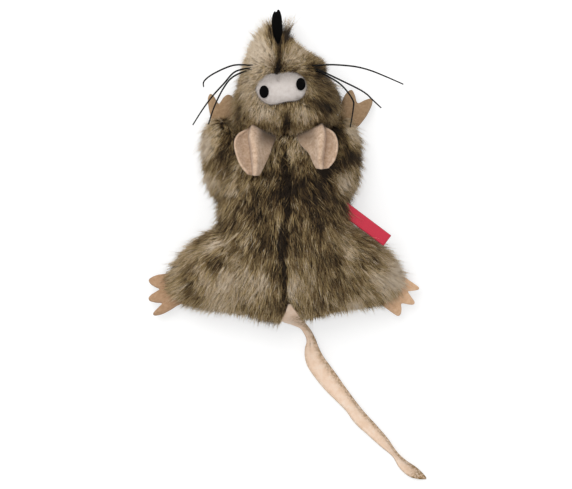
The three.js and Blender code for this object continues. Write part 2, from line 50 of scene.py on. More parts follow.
pivot = {joint["name"]: np.array(joint["pos_m"]) for joint in frame["joints"]}
roundness = 2.2      # how square a stuffed form's section is: 2 is an ellipse
middleShare = 0.45   # level of the widest point of a section
print("frame loaded")


def linear(code):
    # sRGB hex to linear light: a channel c becomes ((c + 0.055) / 1.055) ** 2.4, or c / 12.92 near black
    channels = [int(code[i:i + 2], 16) / 255 for i in (1, 3, 5)]
    return [c / 12.92 if c <= 0.04045 else ((c + 0.055) / 1.055) ** 2.4 for c in channels] + [1]


def addNode(tree, kind, links=None, **settings):
    # Adds one node. Settings name its own properties or its sockets; links give what feeds a socket, which is
    # another socket, a hex colour or a number.
    node = tree.nodes.new(kind)
    for key, value in settings.items():
        if hasattr(node, key):
            setattr(node, key, value)
        else:
            node.inputs[key.replace("_", " ")].default_value = value
    for socket, source in (links or {}).items():
        if isinstance(source, bpy.types.NodeSocket):
            tree.links.new(source, node.inputs[socket])
        else:
            node.inputs[socket].default_value = linear(source) if isinstance(source, str) else source
    return node


def newMaterial(name):
    # A material whose tree of nodes is empty
    material = bpy.data.materials.new(name)
    material.use_nodes = True
    material.node_tree.nodes.clear()
    return material, material.node_tree


def ramp(tree, source, stops):
    # Turns a value into a colour by stops, each a place from 0 to 1 and a hex colour
    node = addNode(tree, "ShaderNodeValToRGB", {"Fac": source})
    elements = node.color_ramp.elements
    while len(elements) < len(stops):
        elements.new(0.5)
    for element, (place, code) in zip(elements, stops):
        element.position = place
        element.color = linear(code)
    return node.outputs["Color"]


def noise(tree, size, detail, rough=0.5):
    # Cloudy noise in the piece's own coordinates, the largest clouds being of this size
    place = addNode(tree, "ShaderNodeTexCoord").outputs["Object"]
    return addNode(tree, "ShaderNodeTexNoise", {"Vector": place}, Scale=1 / size, Detail=detail,
                   Roughness=rough).outputs["Fac"]


def attribute(tree, name):
    # A value that the mesh holds for each of its points
    return addNode(tree, "ShaderNodeAttribute", attribute_name=name).outputs["Fac"]


def mapped(tree, source, **settings):
    # A value stretched from one range, 0 to 1 if none is given, to another
    return addNode(tree, "ShaderNodeMapRange", {"Value": source}, **settings).outputs["Result"]


def calculated(tree, operation, first, second):
    # The sum, product or larger of two values
    return addNode(tree, "ShaderNodeMath", {0: first, 1: second}, operation=operation).outputs[0]


def mixed(tree, share, first, second):
    # The first colour * (1 - share) + the second * share
    return addNode(tree, "ShaderNodeMix", {0: share, 6: first, 7: second}, data_type="RGBA").outputs[2]


def endMaterial(tree, colour, relief=None, **settings):
    # Ends a material with a shader of this colour, and with a bump from its height, strength and depth
    links = {"Base Color": colour}
    if relief:
        height, strength, depth = relief
        bump = addNode(tree, "ShaderNodeBump", {"Height": height}, Strength=strength, Distance=depth)
        links["Normal"] = bump.outputs["Normal"]
    shader = addNode(tree, "ShaderNodeBsdfPrincipled", links, **settings)
    addNode(tree, "ShaderNodeOutputMaterial", {"Surface": shader.outputs["BSDF"]})


lattice = np.random.default_rng(5).random((32, 32, 32))


def noiseAt(points, size, shift):
    # Value noise from 0 to 1: random heights on a lattice of that cell size, mixed between the eight corners
    # round a point by the smooth step 3f^2 - 2f^3 of its place in the cell.
    place = points / np.asarray(size) + shift * np.array([3.7, 5.3, 7.1])
    cell = np.floor(place).astype(int)
    f = place - cell
    f = f * f * (3 - 2 * f)
    total = 0
    for corner in np.ndindex(2, 2, 2):
        weight = np.prod(np.where(corner, f, 1 - f), axis=-1)
        i, j, k = np.moveaxis((cell + corner) % len(lattice), -1, 0)
        total = total + weight * lattice[i, j, k]
    return total


def smoothStep(low, high, value):
    # 0 below low, 1 above high, and 3t^2 - 2t^3 between them
    t = np.clip((value - low) / (high - low), 0, 1)
    return t * t * (3 - 2 * t)


def bell(*shares):
    # exp(-(a^2 + b^2 + ...))
    return np.exp(-sum(share ** 2 for share in shares))


def unit(vectors):
    # Each vector divided by its length
    return vectors / np.maximum(np.linalg.norm(vectors, axis=-1, keepdims=True), 1e-12)


def turned(x, y, angle):
    # Turned in plan about the origin: (x cos - y sin, x sin + y cos)
    cos, sin = np.cos(angle), np.sin(angle)
    return x * cos - y * sin, x * sin + y * cos


def smoothRows(rows, steps, closed=False):
    # Cubic through the rows: with t along a stretch it is a + t(m + t(3d - 2m - n + t(m + n - 2d))), where d
    # is the rise and m and n are the slopes at its ends.
    rows = np.asarray(rows, float)
    if closed:
        here, ahead = rows, np.roll(rows, -1, 0)
        before, beyond = np.roll(rows, 1, 0), np.roll(rows, -2, 0)
    else:
        here, ahead = rows[:-1], rows[1:]
        before, beyond = np.concatenate([rows[:1], rows[:-2]]), np.concatenate([rows[2:], rows[-1:]])
    m, n, d = (ahead - before) / 2, (beyond - here) / 2, ahead - here
    t = (np.arange(steps) / steps).reshape((1, steps) + (1,) * (rows.ndim - 1))
    a, m, n, d = (np.expand_dims(v, 1) for v in (here, m, n, d))
    curve = a + t * (m + t * (3 * d - 2 * m - n + t * (m + n - 2 * d)))
    curve = curve.reshape((-1,) + rows.shape[1:])
    return curve if closed else np.concatenate([curve, rows[-1:]])


def lineDistance(points, line):
    # Distance in plan to a line of straight stretches in millimetres: the nearest place on a stretch is its
    # start plus the share of it that the point's shadow on it gives, held between 0 and 1.
    nearest = np.full(points.shape[:-1], np.inf)
    line = np.array(line) * mm
    for start, along in zip(line[:-1], np.diff(line, axis=0)):
        away = points[..., :2] - start
        share = np.clip((away @ along) / (along @ along), 0, 1)
        nearest = np.minimum(nearest, np.linalg.norm(away - share[..., None] * along, axis=-1))
    return nearest


def insideOutline(points, outline):
    # Even-odd rule: a point is inside if a level line from it crosses the outline an odd number of times
    x, y = points[:, 0, None], points[:, 1, None]
    ax, ay = outline[:, 0], outline[:, 1]
    bx, by = np.roll(ax, -1), np.roll(ay, -1)
    spans = (ay > y) != (by > y)
    rise = np.where(by == ay, 1e-12, by - ay)
    return (np.sum(spans & (x < ax + (y - ay) / rise * (bx - ax)), axis=1) % 2) == 1


def buildMesh(name, points, faceSizes, corners, material, uv=None, values=None):
    # One object from flat arrays: points, the number of corners of each face, and all corners in order
    mesh = bpy.data.meshes.new(name)
    mesh.vertices.add(len(points))
    mesh.vertices.foreach_set("co", np.asarray(points, np.float32).ravel())
    mesh.loops.add(len(corners))
    mesh.loops.foreach_set("vertex_index", np.asarray(corners, np.int32))
    mesh.polygons.add(len(faceSizes))
    starts = np.concatenate([[0], np.cumsum(faceSizes)[:-1]])
    mesh.polygons.foreach_set("loop_start", starts.astype(np.int32))
    mesh.polygons.foreach_set("use_smooth", np.ones(len(faceSizes), bool))
    for key, value in (values or {}).items():
        mesh.attributes.new(key, "FLOAT", "POINT").data.foreach_set("value", np.asarray(value, np.float32))
    if uv is not None:
        mesh.uv_layers.new(name="OFBake").data.foreach_set("uv", np.asarray(uv, np.float32).ravel())
    mesh.update(calc_edges=True)
    mesh.validate()
    mesh.materials.append(material)
    obj = bpy.data.objects.new(name, mesh)
    bpy.context.scene.collection.objects.link(obj)
    return obj


def facingOut(obj):
    # If the signed volume, a sixth of the sum of a . (b x c) over the triangles, is negative, faces point in
    mesh = obj.data
    mesh.calc_loop_triangles()
    corners = np.zeros(len(mesh.loop_triangles) * 3, np.int32)
    mesh.loop_triangles.foreach_get("vertices", corners)
    points = np.zeros(len(mesh.vertices) * 3, np.float32)
    mesh.vertices.foreach_get("co", points)
    a, b, c = np.moveaxis(points.reshape(-1, 3)[corners.reshape(-1, 3)].astype(float), 1, 0)
    if np.sum(a * np.cross(b, c)) < 0:
        mesh.flip_normals()
    return obj


def closedTube(name, grid, material, values=None):
    # A grid of rings (rings, sides, 3), each joined to the next, and a fan to the middle of each end ring
    rings, sides = grid.shape[:2]
    points = np.concatenate([grid.reshape(-1, 3), grid[:1].mean(1), grid[-1:].mean(1)])
    here = np.arange(rings * sides).reshape(rings, sides)
    after = np.roll(here, -1, 1)
    quads = np.stack([here[:-1], after[:-1], after[1:], here[1:]], -1)
    pole = np.full(sides, rings * sides)
    start = np.stack([pole, after[0], here[0]], -1)
    end = np.stack([pole + 1, here[-1], after[-1]], -1)
    corners = np.concatenate([quads.ravel(), start.ravel(), end.ravel()])
    sizes = np.concatenate([np.full(quads.size // 4, 4), np.full(2 * sides, 3)])
    if values:
        values = {key: np.concatenate([v.ravel(), [v[0].mean(), v[-1].mean()]]) for key, v in values.items()}
    return facingOut(buildMesh(name, points, sizes, corners, material, values=values))


def closedSheet(name, middle, thickness, material, values=None):
    # Felt or suede from its middle surface (rows, columns, 3): both faces lie half the thickness away along
    # the normal, times a rim profile sqrt(1 - e^2) that closes the edge in a round.
    rows, columns = middle.shape[:2]
    normal = unit(np.cross(np.gradient(middle, axis=0), np.gradient(middle, axis=1)))
    near = np.full((rows, columns), np.inf)
    for axis in (0, 1):
        step = np.linalg.norm(np.diff(middle, axis=axis), axis=-1)
        way = np.cumsum(np.insert(step, 0, 0, axis=axis), axis=axis)
        near = np.minimum(near, np.minimum(way, np.take(way, [-1], axis=axis) - way))
    rim = np.sqrt(1 - (1 - np.clip(near / (thickness / 2), 0, 1)) ** 2)[..., None] * thickness / 2
    upper = np.arange(rows * columns).reshape(rows, columns)
    under = upper + rows * columns
    under[0], under[-1], under[:, 0], under[:, -1] = upper[0], upper[-1], upper[:, 0], upper[:, -1]
    first, second = (np.stack([n[:-1, :-1], n[1:, :-1], n[1:, 1:], n[:-1, 1:]], -1).reshape(-1, 4)
                     for n in (upper, under))
    points = np.concatenate([(middle + normal * rim).reshape(-1, 3), (middle - normal * rim).reshape(-1, 3)])
    used, faces = np.unique(np.concatenate([first, second[:, ::-1]]), return_inverse=True)
    if values:
        values = {key: np.concatenate([v.ravel(), v.ravel()])[used] for key, v in values.items()}
    return facingOut(buildMesh(name, points[used], np.full(faces.size // 4, 4), faces.ravel(), material,
                               values=values))


def settle(piece, slot, body, *replaced):
    # Hides the CAD pieces that a piece stands for and attaches it to the body that it rides on. The slot is
    # not used.
    if replaced:
        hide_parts(*replaced)
    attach(piece, body)


# The toy lies with its rump at the lowest Y, and everything is placed from the neck hinge
bodySize = {"length": 120 * mm, "width": 78 * mm, "height": 40 * mm, "neckInset": 6 * mm, "sunk": 0.5 * mm}
headSize = {"length": 68 * mm, "width": 59 * mm, "height": 44 * mm, "overlap": 12 * mm}
slim = {"body": 0.96, "head": 0.94, "arm": 0.88, "leg": 0.93}  # share of its width that each form's skin has
rump = np.array([pivot["neck_nod"][0], pivot["neck_nod"][1] + bodySize["neckInset"] - bodySize["length"], 0])


def makeForm(rows, length, width, height, at, turn=0, sign=1, relief=None):
    # A stuffed form. Its rows hold place along it, sideways shift, half width, top and bottom as shares.
    table = smoothRows(rows, 24)
    return {"table": table, "share": np.linspace(0, 1, len(table)), "length": length, "width": width,
            "height": height, "at": np.array(at), "turn": math.radians(turn), "sign": sign, "relief": relief}


def formPoints(form, u, phi):
    # Ring at share u of the way: x = shift + half * c^(2/r), z = middle + reach * s^(2/r), where c and s are
    # the cosine and sine of phi with their signs. Then it is turned about Z and moved to its place.
    along, shift, half, top, bottom = (np.interp(u, form["share"], column) for column in form["table"].T)
    middle = bottom + (top - bottom) * middleShare
    across, rise = (np.sign(v) * np.abs(v) ** (2 / roundness) for v in (np.cos(phi), np.sin(phi)))
    x = (form["sign"] * shift + half * across) * form["width"]
    z = (middle + rise * np.where(rise > 0, top - middle, middle - bottom)) * form["height"]
    x, y, z, rise = np.broadcast_arrays(x, along * form["length"], z, rise)
    points = np.stack([*turned(x, y, form["turn"]), z], -1) + form["at"]
    if form["relief"]:
        points[..., 2] += form["relief"](points) * np.clip(rise, 0, 1)
    return points


def formNormals(form, u, phi):
    # Cross product of the steps round the ring and along the form
    stepU, stepPhi = 2e-3, 2e-2
    around = formPoints(form, u, phi + stepPhi) - formPoints(form, u, phi - stepPhi)
    along = formPoints(form, np.clip(u + stepU, 0, 1), phi) - formPoints(form, np.clip(u - stepU, 0, 1), phi)
    return unit(np.cross(along, around))


def sectionAt(form, along):
    # Shift, half width, top, bottom and middle of a form's section, as shares
    places, *columns = form["table"].T
    shift, half, top, bottom = (np.interp(along, places, column) for column in columns)
    return shift, half, top, bottom, bottom + (top - bottom) * middleShare


def depthInside(form, points):
    # How far inside the form a point lies, in metres, about: (1 - v) * reach, where v is the section's (|x /
    # half|^r + |z / reach|^r)^(1/r). Outside it is negative.
    x, y, z = np.moveaxis(points - form["at"], -1, 0)
    x, y = turned(x, y, -form["turn"])
    y = y / form["length"]
    shift, half, top, bottom, middle = sectionAt(form, y)
    half = np.maximum(half, 1e-3) * form["width"]
    z = z - middle * form["height"]
    reach = np.maximum(np.where(z > 0, top - middle, middle - bottom) * form["height"], 1e-5)
    v = (np.abs((x - form["sign"] * shift * form["width"]) / half) ** roundness
         + np.abs(z / reach) ** roundness) ** (1 / roundness)
    start, end = form["table"][[0, -1], 0]
    beyond = np.maximum(start - y, y - end) * form["length"]
    return np.where(beyond > 0, -beyond, (1 - v) * np.minimum(half, reach))


def topOf(form, x, y):
    # Level of the form's top in plan: middle + reach * (1 - |x / half|^r)^(1/r), and its relief
    shift, half, top, bottom, middle = sectionAt(form, (y - form["at"][1]) / form["length"])
    off = np.abs((x - form["at"][0] - shift * form["width"]) / (half * form["width"]))
    share = (1 - np.clip(off, 0, 1) ** roundness) ** (1 / roundness)
    level = (middle + (top - middle) * share) * form["height"]
    return level + form["relief"](np.stack([x, y, level], -1)) * share


# Sewn lines that pull the plush in, in millimetres in plan: the fold's depth and reach, and its dark, which
# is painted shade in the seam's groove
seams = {name: {"line": line, "depth": depth, "reach": reach, "dark": dark}
         for name, depth, reach, dark, line in [
    ("back", 2.3, 1.3, 0.68, [(-0.9, 54), (-1, 46), (0.7, 27.6), (1.1, 15.8), (-2.2, 5.9), (-3.1, -7.7),
                              (-1, -23.8), (-0.6, -34)]),
    ("snout", 2.4, 1.9, 0.7, [(-4.5, 126), (-4.7, 111.5), (-5.2, 103.7)]),
    ("browLeft", 1.8, 1.5, 0.4, [(-14.5, 85.7), (-8.5, 83), (-1.3, 81)]),
    ("browRight", 2.2, 1.4, 0.35, [(7.1, 87.1), (10.7, 87.3), (14.9, 84.6), (20.9, 82.4), (27.5, 81)]),
    ("crown", 1.4, 1.4, 0.4, [(0.5, 77), (0.5, 73), (-0.7, 67)]),
    ("nape", 1.2, 1.5, 0.15, [(-25, 74.5), (-14.5, 70.1), (-6.2, 67.6), (1.1, 67.1), (8.5, 68.5),
                              (16.7, 70.7), (25, 73.5)]),
]}
bodySeams = ["back"]
headSeams = ["snout", "browLeft", "browRight", "crown", "nape"]
headPuffs = [(-14, 79, 10, 7, 2.2), (14, 79, 11, 7, 2.4), (-14, 113, 8, 10, 1.2), (6, 113, 8, 10, 1.2)]


def besideSeam(points, name, reach):
    # exp(-(distance / reach)^2) from a seam's line
    return bell(lineDistance(points, seams[name]["line"]) / (reach * mm))


def reliefOf(names, puffs=()):
    # Puffs raise the surface by height * exp(-(x / a)^2 - (y / b)^2), and seams sink it by bells too
    def relief(points):
        rise = 0
        for name in names:
            rise = rise - seams[name]["depth"] * mm * besideSeam(points, name, seams[name]["reach"])
        for x, y, a, b, height in puffs:
            rise = rise + height * mm * bell((points[..., 0] / mm - x) / a, (points[..., 1] / mm - y) / b)
        return rise
    return relief


bodyForm = makeForm([
    (0, 0.04, 0, 0.42, 0.42), (0.02, 0.03, 0.24, 0.62, 0.22), (0.07, 0.023, 0.37, 0.76, 0.1),
    (0.16, 0.02, 0.458, 0.92, 0.02), (0.31, 0.008, 0.49, 1, 0), (0.51, -0.008, 0.485, 0.97, 0),
    (0.64, -0.01, 0.48, 0.92, 0), (0.765, -0.004, 0.45, 0.82, 0.02), (0.865, 0.004, 0.39, 0.72, 0.08),
    (0.94, 0.004, 0.37, 0.62, 0.16), (0.985, 0.006, 0.3, 0.54, 0.26), (1.01, 0.01, 0, 0.42, 0.42)],
    bodySize["length"], slim["body"] * bodySize["width"], bodySize["height"], rump - [0, 0, bodySize["sunk"]],
    relief=reliefOf(bodySeams))
headForm = makeForm([
    (0, 0.02, 0, 0.42, 0.42), (0.03, 0.01, 0.31, 0.6, 0.25), (0.114, -0.002, 0.482, 0.8, 0.12),
    (0.228, 0.016, 0.51, 0.96, 0.05), (0.333, 0.022, 0.508, 1, 0.03), (0.43, 0.012, 0.47, 0.97, 0.03),
    (0.535, -0.018, 0.412, 0.9, 0.03), (0.64, -0.009, 0.393, 0.78, 0.04), (0.746, -0.074, 0.262, 0.64, 0.06),
    (0.851, -0.125, 0.13, 0.52, 0.1), (0.935, -0.1, 0.078, 0.42, 0.16), (0.975, -0.09, 0.04, 0.36, 0.24),
    (0.99, -0.09, 0, 0.3, 0.3)],
    headSize["length"], slim["head"] * headSize["width"], headSize["height"],
    rump + [0, bodySize["length"] - headSize["overlap"], 0], relief=reliefOf(headSeams, headPuffs))
limbLift = 0.8 * mm
limbs = {
    "arm": {"length": 48 * mm, "width": 26 * mm, "height": 20 * mm, "left": (-0.383, 0.6, 12.1),
            "right": (0.35, 0.6, -8), "rows": [
            (-0.06, 0, 0, 0.5, 0.5), (0, 0, 0.25, 0.75, 0.25), (0.08, 0, 0.42, 0.9, 0.1),
            (0.25, 0, 0.52, 1, 0.02), (0.5, 0, 0.5, 1, 0), (0.7, 0, 0.45, 0.92, 0.02),
            (0.84, 0, 0.33, 0.78, 0.08), (0.94, 0, 0.19, 0.64, 0.2), (1, 0, 0, 0.42, 0.42)]},
    "leg": {"length": 47 * mm, "width": 56 * mm, "height": 28 * mm, "left": (-0.308, 0.289, 109.8),
            "right": (0.308, 0.295, -109), "rows": [
            (-0.09, -0.06, 0, 0.5, 0.5), (-0.04, -0.055, 0.28, 0.85, 0.15), (0.08, -0.055, 0.465, 1, 0.02),
            (0.27, -0.053, 0.452, 1, 0), (0.57, -0.03, 0.34, 0.86, 0), (0.74, -0.03, 0.262, 0.72, 0.02),
            (0.85, -0.035, 0.19, 0.6, 0.06), (0.95, -0.03, 0.105, 0.46, 0.14), (1, -0.02, 0, 0.33, 0.33)]},
}
forms = {"body": bodyForm, "head": headForm}
for side, sign in (("left", 1), ("right", -1)):
    for kind, limb in limbs.items():
        across, along, turn = limb[side]
        at = rump + [across * bodySize["width"], along * bodySize["length"], limbLift]
        forms[f"{kind}_{side}"] = makeForm(limb["rows"], limb["length"], slim[kind] * limb["width"],
                                           limb["height"], at, turn, sign)
print("forms worked out")


def plushMaterial():
    # Acrylic faux fur: a matt pile, dark brown at the root and frosted at the tip, so it reads deep and
    # mottled. The pile swallows light, so its fibres are paler than the coat looks. A fibre is about 0.05 mm
    # thick; here each strand is a lock of them, 0.26 to 0.38 mm wide.
    material, tree = newMaterial("acrylic_plush")
    tone = attribute(tree, "tone")
    root = ramp(tree, tone, [(0, "#140d07"), (0.25, "#302213"), (0.5, "#685032"), (0.75, "#ab8f65"),
                             (1, "#e0cdaa")])
    tip = ramp(tree, tone, [(0, "#35281a"), (0.25, "#856942"), (0.5, "#ceb27d"), (0.75, "#f0d8b1"),
                            (1, "#fcebd3")])
    share = mapped(tree, attribute(tree, "along"), interpolation_type="SMOOTHSTEP", From_Max=0.75)
    endMaterial(tree, mixed(tree, share, root, tip), Roughness=0.62, Specular_IOR_Level=0.3)
    return material


def backingMaterial():
    # Knitted acrylic backing seen between the locks: the coat's tone, but darker as painted shade of the
    # pile's depth, with the pile's roots as a fine grain. The knit's loops are about 1 mm; the bump is that
    # coarse.
    material, tree = newMaterial("knitted_backing")
    grain = noise(tree, 1 / 900, 3)
    tone = calculated(tree, "ADD", attribute(tree, "tone"), mapped(tree, grain, To_Min=-0.15, To_Max=0.15))
    colour = ramp(tree, tone, [(0.1, "#1d150e"), (0.4, "#4a3a29"), (0.8, "#a08a6c")])
    endMaterial(tree, colour, (grain, 0.6, 0.5 * mm), Roughness=0.95)
    return material


plush, backing = plushMaterial(), backingMaterial()

# How each stuffed form is covered: the locks' number, length and width, how far they stand up at root and
# tip, the size of a tuft and how far its tips draw together, the tone, and the mesh pieces made of it.
bodyPile = {"count": 60000, "length": 9 * mm, "width": 0.38 * mm, "stand": (0.55, 0.2), "tuft": 1.4 * mm,
            "gather": 0.45, "tone": 0.39, "pieces": 4, "seed": 1}
headPile = {"count": 60000, "length": 5.5 * mm, "width": 0.26 * mm, "stand": (0.7, 0.3), "tuft": 1.1 * mm,
            "gather": 0.38, "tone": 0.53, "pieces": 4, "seed": 2}
legPile = {**bodyPile, "count": 25000, "pieces": 2}
armPile = {**bodyPile, "count": 16000, "length": 8 * mm, "width": 0.35 * mm, "stand": (0.6, 0.25),
           "tone": 0.6, "pieces": 1}
coats = {
    "body": bodyPile, "head": headPile,
    "leg_left": {**legPile, "tone": 0.63, "seed": 3},
    "leg_right": {**legPile, "tuft": 1.7 * mm, "gather": 0.5, "tone": 0.55, "seed": 4},
    "arm_left": {**armPile, "seed": 5},
    "arm_right": {**armPile, "tuft": 1.6 * mm, "gather": 0.5, "seed": 6},
}
# How the nap runs: its spread over body and legs, its parting, its swirl and its turn round the snout
combing = {"spread": 0.45, "legSpread": 0.7, "legs": (15 * mm, 45 * mm), "legsFrom": 25 * mm,
           "halfWidth": 60 * mm, "down": 0.1, "parting": (0.2, 4 * mm), "swirl": 0.75,
           "swirlSize": (9 * mm, 14 * mm, 9 * mm), "snout": (-4.9 * mm, 106 * mm, 20 * mm),
           "flatness": (1, 1, 0.3), "ahead": (-14 * mm, 6 * mm), "behind": 0.25}
# What shapes every lock. Pressed: none grows below this level where the skin faces down more than this.
# Below: this share is left out where it faces down more than this. Wispy: the share left out at the snout's
# end. Warp: how noise bends the tufts' cells. Stiff: shortens the nap where it runs into the skin. Steep: how
# far locks stand up more at the edge and against the comb. Shorter: there, along it and at the edge.
locks = {"pressed": (1.5 * mm, -0.6), "below": (-0.3, 0.5), "skip": 0.5 * mm,
         "wispy": (0.45, 114 * mm, 124 * mm), "warp": (3 * mm, 1.6), "stiff": 0.15, "steep": (0.5, 0.6, 0.2),
         "length": (0.75, 1.15), "shorter": (0.35, 0.45, 0.15), "bend": 0.45, "droop": 0.12, "clip": 0.5,
         "over": 8 * mm, "pull": (0.5, 1), "bendPull": 0.35, "floor": (0.3 * mm, 0.5 * mm),
         "width": (0.75, 1.25)}
# Guard hairs stand out of the pile: their share, how much longer they are, how little they gather, how thin
guard = {"share": 0.2, "longer": 1.6, "gather": 0.25, "width": 0.7}
# How much each tuft differs from the next in length, lean and tone, and each lock in lean and tone
tuftVaries = {"length": 0.26, "lean": 0.14, "tone": 0.1}
lockVaries = {"lean": 0.13, "tone": 0.18}
# Noise in the coat's tone: its strength, its size along each axis and its shift
streaks = [(0.34, (6 * mm, 10 * mm, 8 * mm), 1), (0.5, (2.6 * mm, 5 * mm, 4 * mm), 2)]
# Patches of darker and paler plush: x, y, half width, half length in millimetres, change of tone, turn. Most
# are the coat's own mottling; the dark ones where the ears, arms and head meet the body are painted shade in
# the gaps.
patches = [
    (14, 30, 14, 13, -0.36), (25, 39, 6, 12, -0.4), (-9, 26, 11, 8, -0.42), (-2, 42, 5, 12, -0.22),
    (6, 32, 6, 6, -0.5), (9, 14, 8, 9, -0.25), (-24, 17, 7, 6, -0.3), (-41, 46, 9, 9, -0.6, 10),
    (40, 50, 8, 6, -0.6, -10), (-17, -3, 4, 5, -0.25), (-13, 4, 5, 9, -0.35), (-6, -8, 7, 12, -0.14),
    (-44, -15, 7, 6, -0.65, 20), (-49, 5, 15, 4, -0.35, 25), (-59, -27, 8, 10, -0.42),
    (21, -30, 5, 12, -0.15), (32, 20, 5, 8, -0.3), (-32, -4, 8, 3.5, -0.3), (30, -13, 9, 7, -0.4),
    (8, -5, 5, 5, -0.4), (36, -31, 6, 8, -0.45), (-6, -31, 4, 5, -0.2), (29, 66, 6, 8, -0.8),
    (41, 31, 3, 5, -0.2), (-36, 57, 5, 6, -0.35), (-36, 67, 5, 8, -0.25), (-43, 24, 4, 5, -0.25),
    (-11, 39, 8, 3.5, -0.5), (20, 6, 7, 7, -0.4), (7, -19, 3, 4, -0.35), (48, -27, 6, 5, -0.2),
    (62, -15, 5, 5, -0.4), (-52, -12, 4, 4, -0.2), (0, -38, 4, 5, -0.35), (46, 2, 8, 6, -0.25),
    (38, 60, 4, 7, -0.35), (11, 47, 3, 4, -0.3), (29, 1, 4, 6, 0.2), (14, 20, 4, 6, -0.2),
    (45, 51, 4, 6, -0.25), (28, -22, 4, 6, 0.2), (50, -38, 4, 4, -0.25), (-10, -21, 5, 4, -0.3),
    (30, 45, 7, 4, -0.4), (0, -3, 3, 12, -0.25), (-31, 77, 5, 6, -0.7), (50, -13, 6, 5, -0.2),
    (-49, 62, 6, 9, 0.42, 10), (-50, 53, 5, 6, 0.65), (-49, 36, 4, 6, 0.6), (43, 66, 4, 9, 0.6),
    (36, 34, 6, 7, 0.6), (-32, 45, 6, 4, 0.5), (19, 54, 7, 7, 0.55), (12, 57, 5, 6, 0.3), (1, 51, 5, 4, 0.3),
    (-15, 57, 5, 8, 0.35), (-19, 49, 7, 6, 0.5), (-3, 7, 3, 6, 0.4), (8, 20, 4, 5, 0.65),
    (-26, 1, 4, 6, 0.4), (-37, -1, 9, 4, 0.35), (-34, -11, 6, 3, 0.35), (-48, -2, 6, 5, 0.3),
    (-28, -25, 13, 10, 0.4), (-14, -28, 4, 6, 0.45), (4, -27, 4, 8, 0.65), (7, -11, 4, 5, 0.35),
    (29, -19, 4, 7, 0.3), (40, -7, 5, 7, 0.5), (56, -20, 4, 5, 0.2), (69, -19, 9, 8, 0.8),
    (63, -27, 7, 5, 0.3), (32, 79, 3, 3, 0.2), (14, -27, 6, 8, 0.3), (-52, -20, 4, 7, 0.4),
    (-44, 17, 4, 5, 0.3), (-38, 30, 5, 6, 0.35), (21, -5, 4, 4, 0.1), (-32, 4, 5, 5, -0.35),
    (43, -37, 5, 4, 0.4), (24, 37, 4, 5, -0.2), (17, -36, 5, 4, -0.15),
]
headPatches = [
    (-14, 117, 10, 14, 0.85), (8, 113, 7, 8, 0.35), (1, 130, 4, 7, -0.75), (-10, 129, 3, 8, -0.95),
    (-2, 121, 4, 6, -0.35), (25, 98, 9, 12, -0.25), (18, 109, 9, 4.5, -0.4, -40), (14, 100, 8, 5, -0.25),
    (5, 106, 5, 5, -0.2), (-12, 107, 4, 4, -0.2), (-22, 94, 6, 16, 0.4), (-1, 101, 9, 5, -0.42),
    (-20, 77, 8, 7, 0.1), (12, 76, 9, 6, 0.34), (32, 84, 5, 10, -0.15), (-4, 86, 13, 4, 0.32),
    (1, 70, 6, 5, -0.35), (-14, 69, 9, 3, -0.2), (-12, 76, 7, 6, 0.3), (18, 70, 8, 3, -0.25),
    (25, 79, 7, 5, -0.35), (13, 90, 5, 6, 0.25), (28, 67, 6, 5, -0.6), (5, 82, 4, 4, -0.25),
    (29, 88, 7, 6, -0.3), (-30, 76, 4, 8, -0.45),
]


def toneAt(part, points, base):
    # Tone from 0, dark, to 1, pale: streaks of noise, plus each patch's bell, less the seams' painted shade
    value = base
    for strength, size, shift in streaks:
        value = value + strength * (noiseAt(points, size, shift) - 0.5)
    for x, y, a, b, change, *turn in headPatches if part == "head" else patches:
        across, along = turned(points[:, 0] / mm - x, points[:, 1] / mm - y, -math.radians(sum(turn)))
        value += change * bell(across / a, along / b)
    # Painted shade in the seams' grooves
    for name in headSeams if part == "head" else bodySeams + ["nape"]:
        value -= seams[name]["dark"] * besideSeam(points, name, 1.1 * seams[name]["reach"])
    return value


def scatter(form, count, rng):
    # Even spread: cells of a fine grid are drawn in ratio to their area, then a place in the cell
    u, phi = np.linspace(0.002, 0.998, 181), np.linspace(0, 2 * math.pi, 97)
    grid = formPoints(form, u[:, None], phi[None, :])
    area = np.linalg.norm(np.cross(np.diff(grid, axis=0)[:, :-1], np.diff(grid, axis=1)[:-1]), axis=-1)
    share = np.cumsum(area.ravel())
    cell = np.searchsorted(share / share[-1], rng.random(count))
    row, column = np.unravel_index(cell, area.shape)
    return u[row] + rng.random(count) * (u[1] - u[0]), phi[column] + rng.random(count) * (phi[1] - phi[0])


def combAt(points, onHead):
    # The nap runs to the rump and spreads in ratio to x, more so over the legs. It parts at the back seam by
    # share * t * exp(-t^2), t being the distance over the reach. On the head it also runs away from the
    # snout's root in every direction. Noise turns it a little either way.
    x, y = points[:, 0] - rump[0], points[:, 1]
    overLegs = smoothStep(*combing["legs"], np.abs(x)) * smoothStep(combing["legsFrom"], 0, y)
    spread = combing["spread"] + combing["legSpread"] * overLegs
    down = np.full(len(x), -combing["down"])
    comb = np.stack([spread * x / combing["halfWidth"], np.full(len(x), -1.0), down], -1)
    seam = np.array(seams["back"]["line"][::-1]) * mm
    aside = points[:, 0] - np.interp(y, seam[:, 1], seam[:, 0])
    share, reach = combing["parting"]
    comb[:, 0] += share * aside / reach * bell(aside / reach)
    if onHead:
        away = (points - combing["snout"]) * combing["flatness"]
        ahead = smoothStep(*combing["ahead"], away[:, 1])[:, None]
        least = combing["behind"]
        comb = unit(away) * (least + (1 - least) * ahead) + unit(comb) * (1 - ahead)
    angle = combing["swirl"] * (noiseAt(points, combing["swirlSize"], 3) - 0.5)
    return unit(np.stack([*turned(comb[:, 0], comb[:, 1], angle), comb[:, 2]], -1))


def drawTogether(points, group, share):
    # Each point moves its share of the way to the middle of its tuft
    count = np.maximum(np.bincount(group), 1)[:, None]
    middle = np.stack([np.bincount(group, points[:, k]) for k in range(3)], -1) / count
    return points + share * (middle[group] - points)


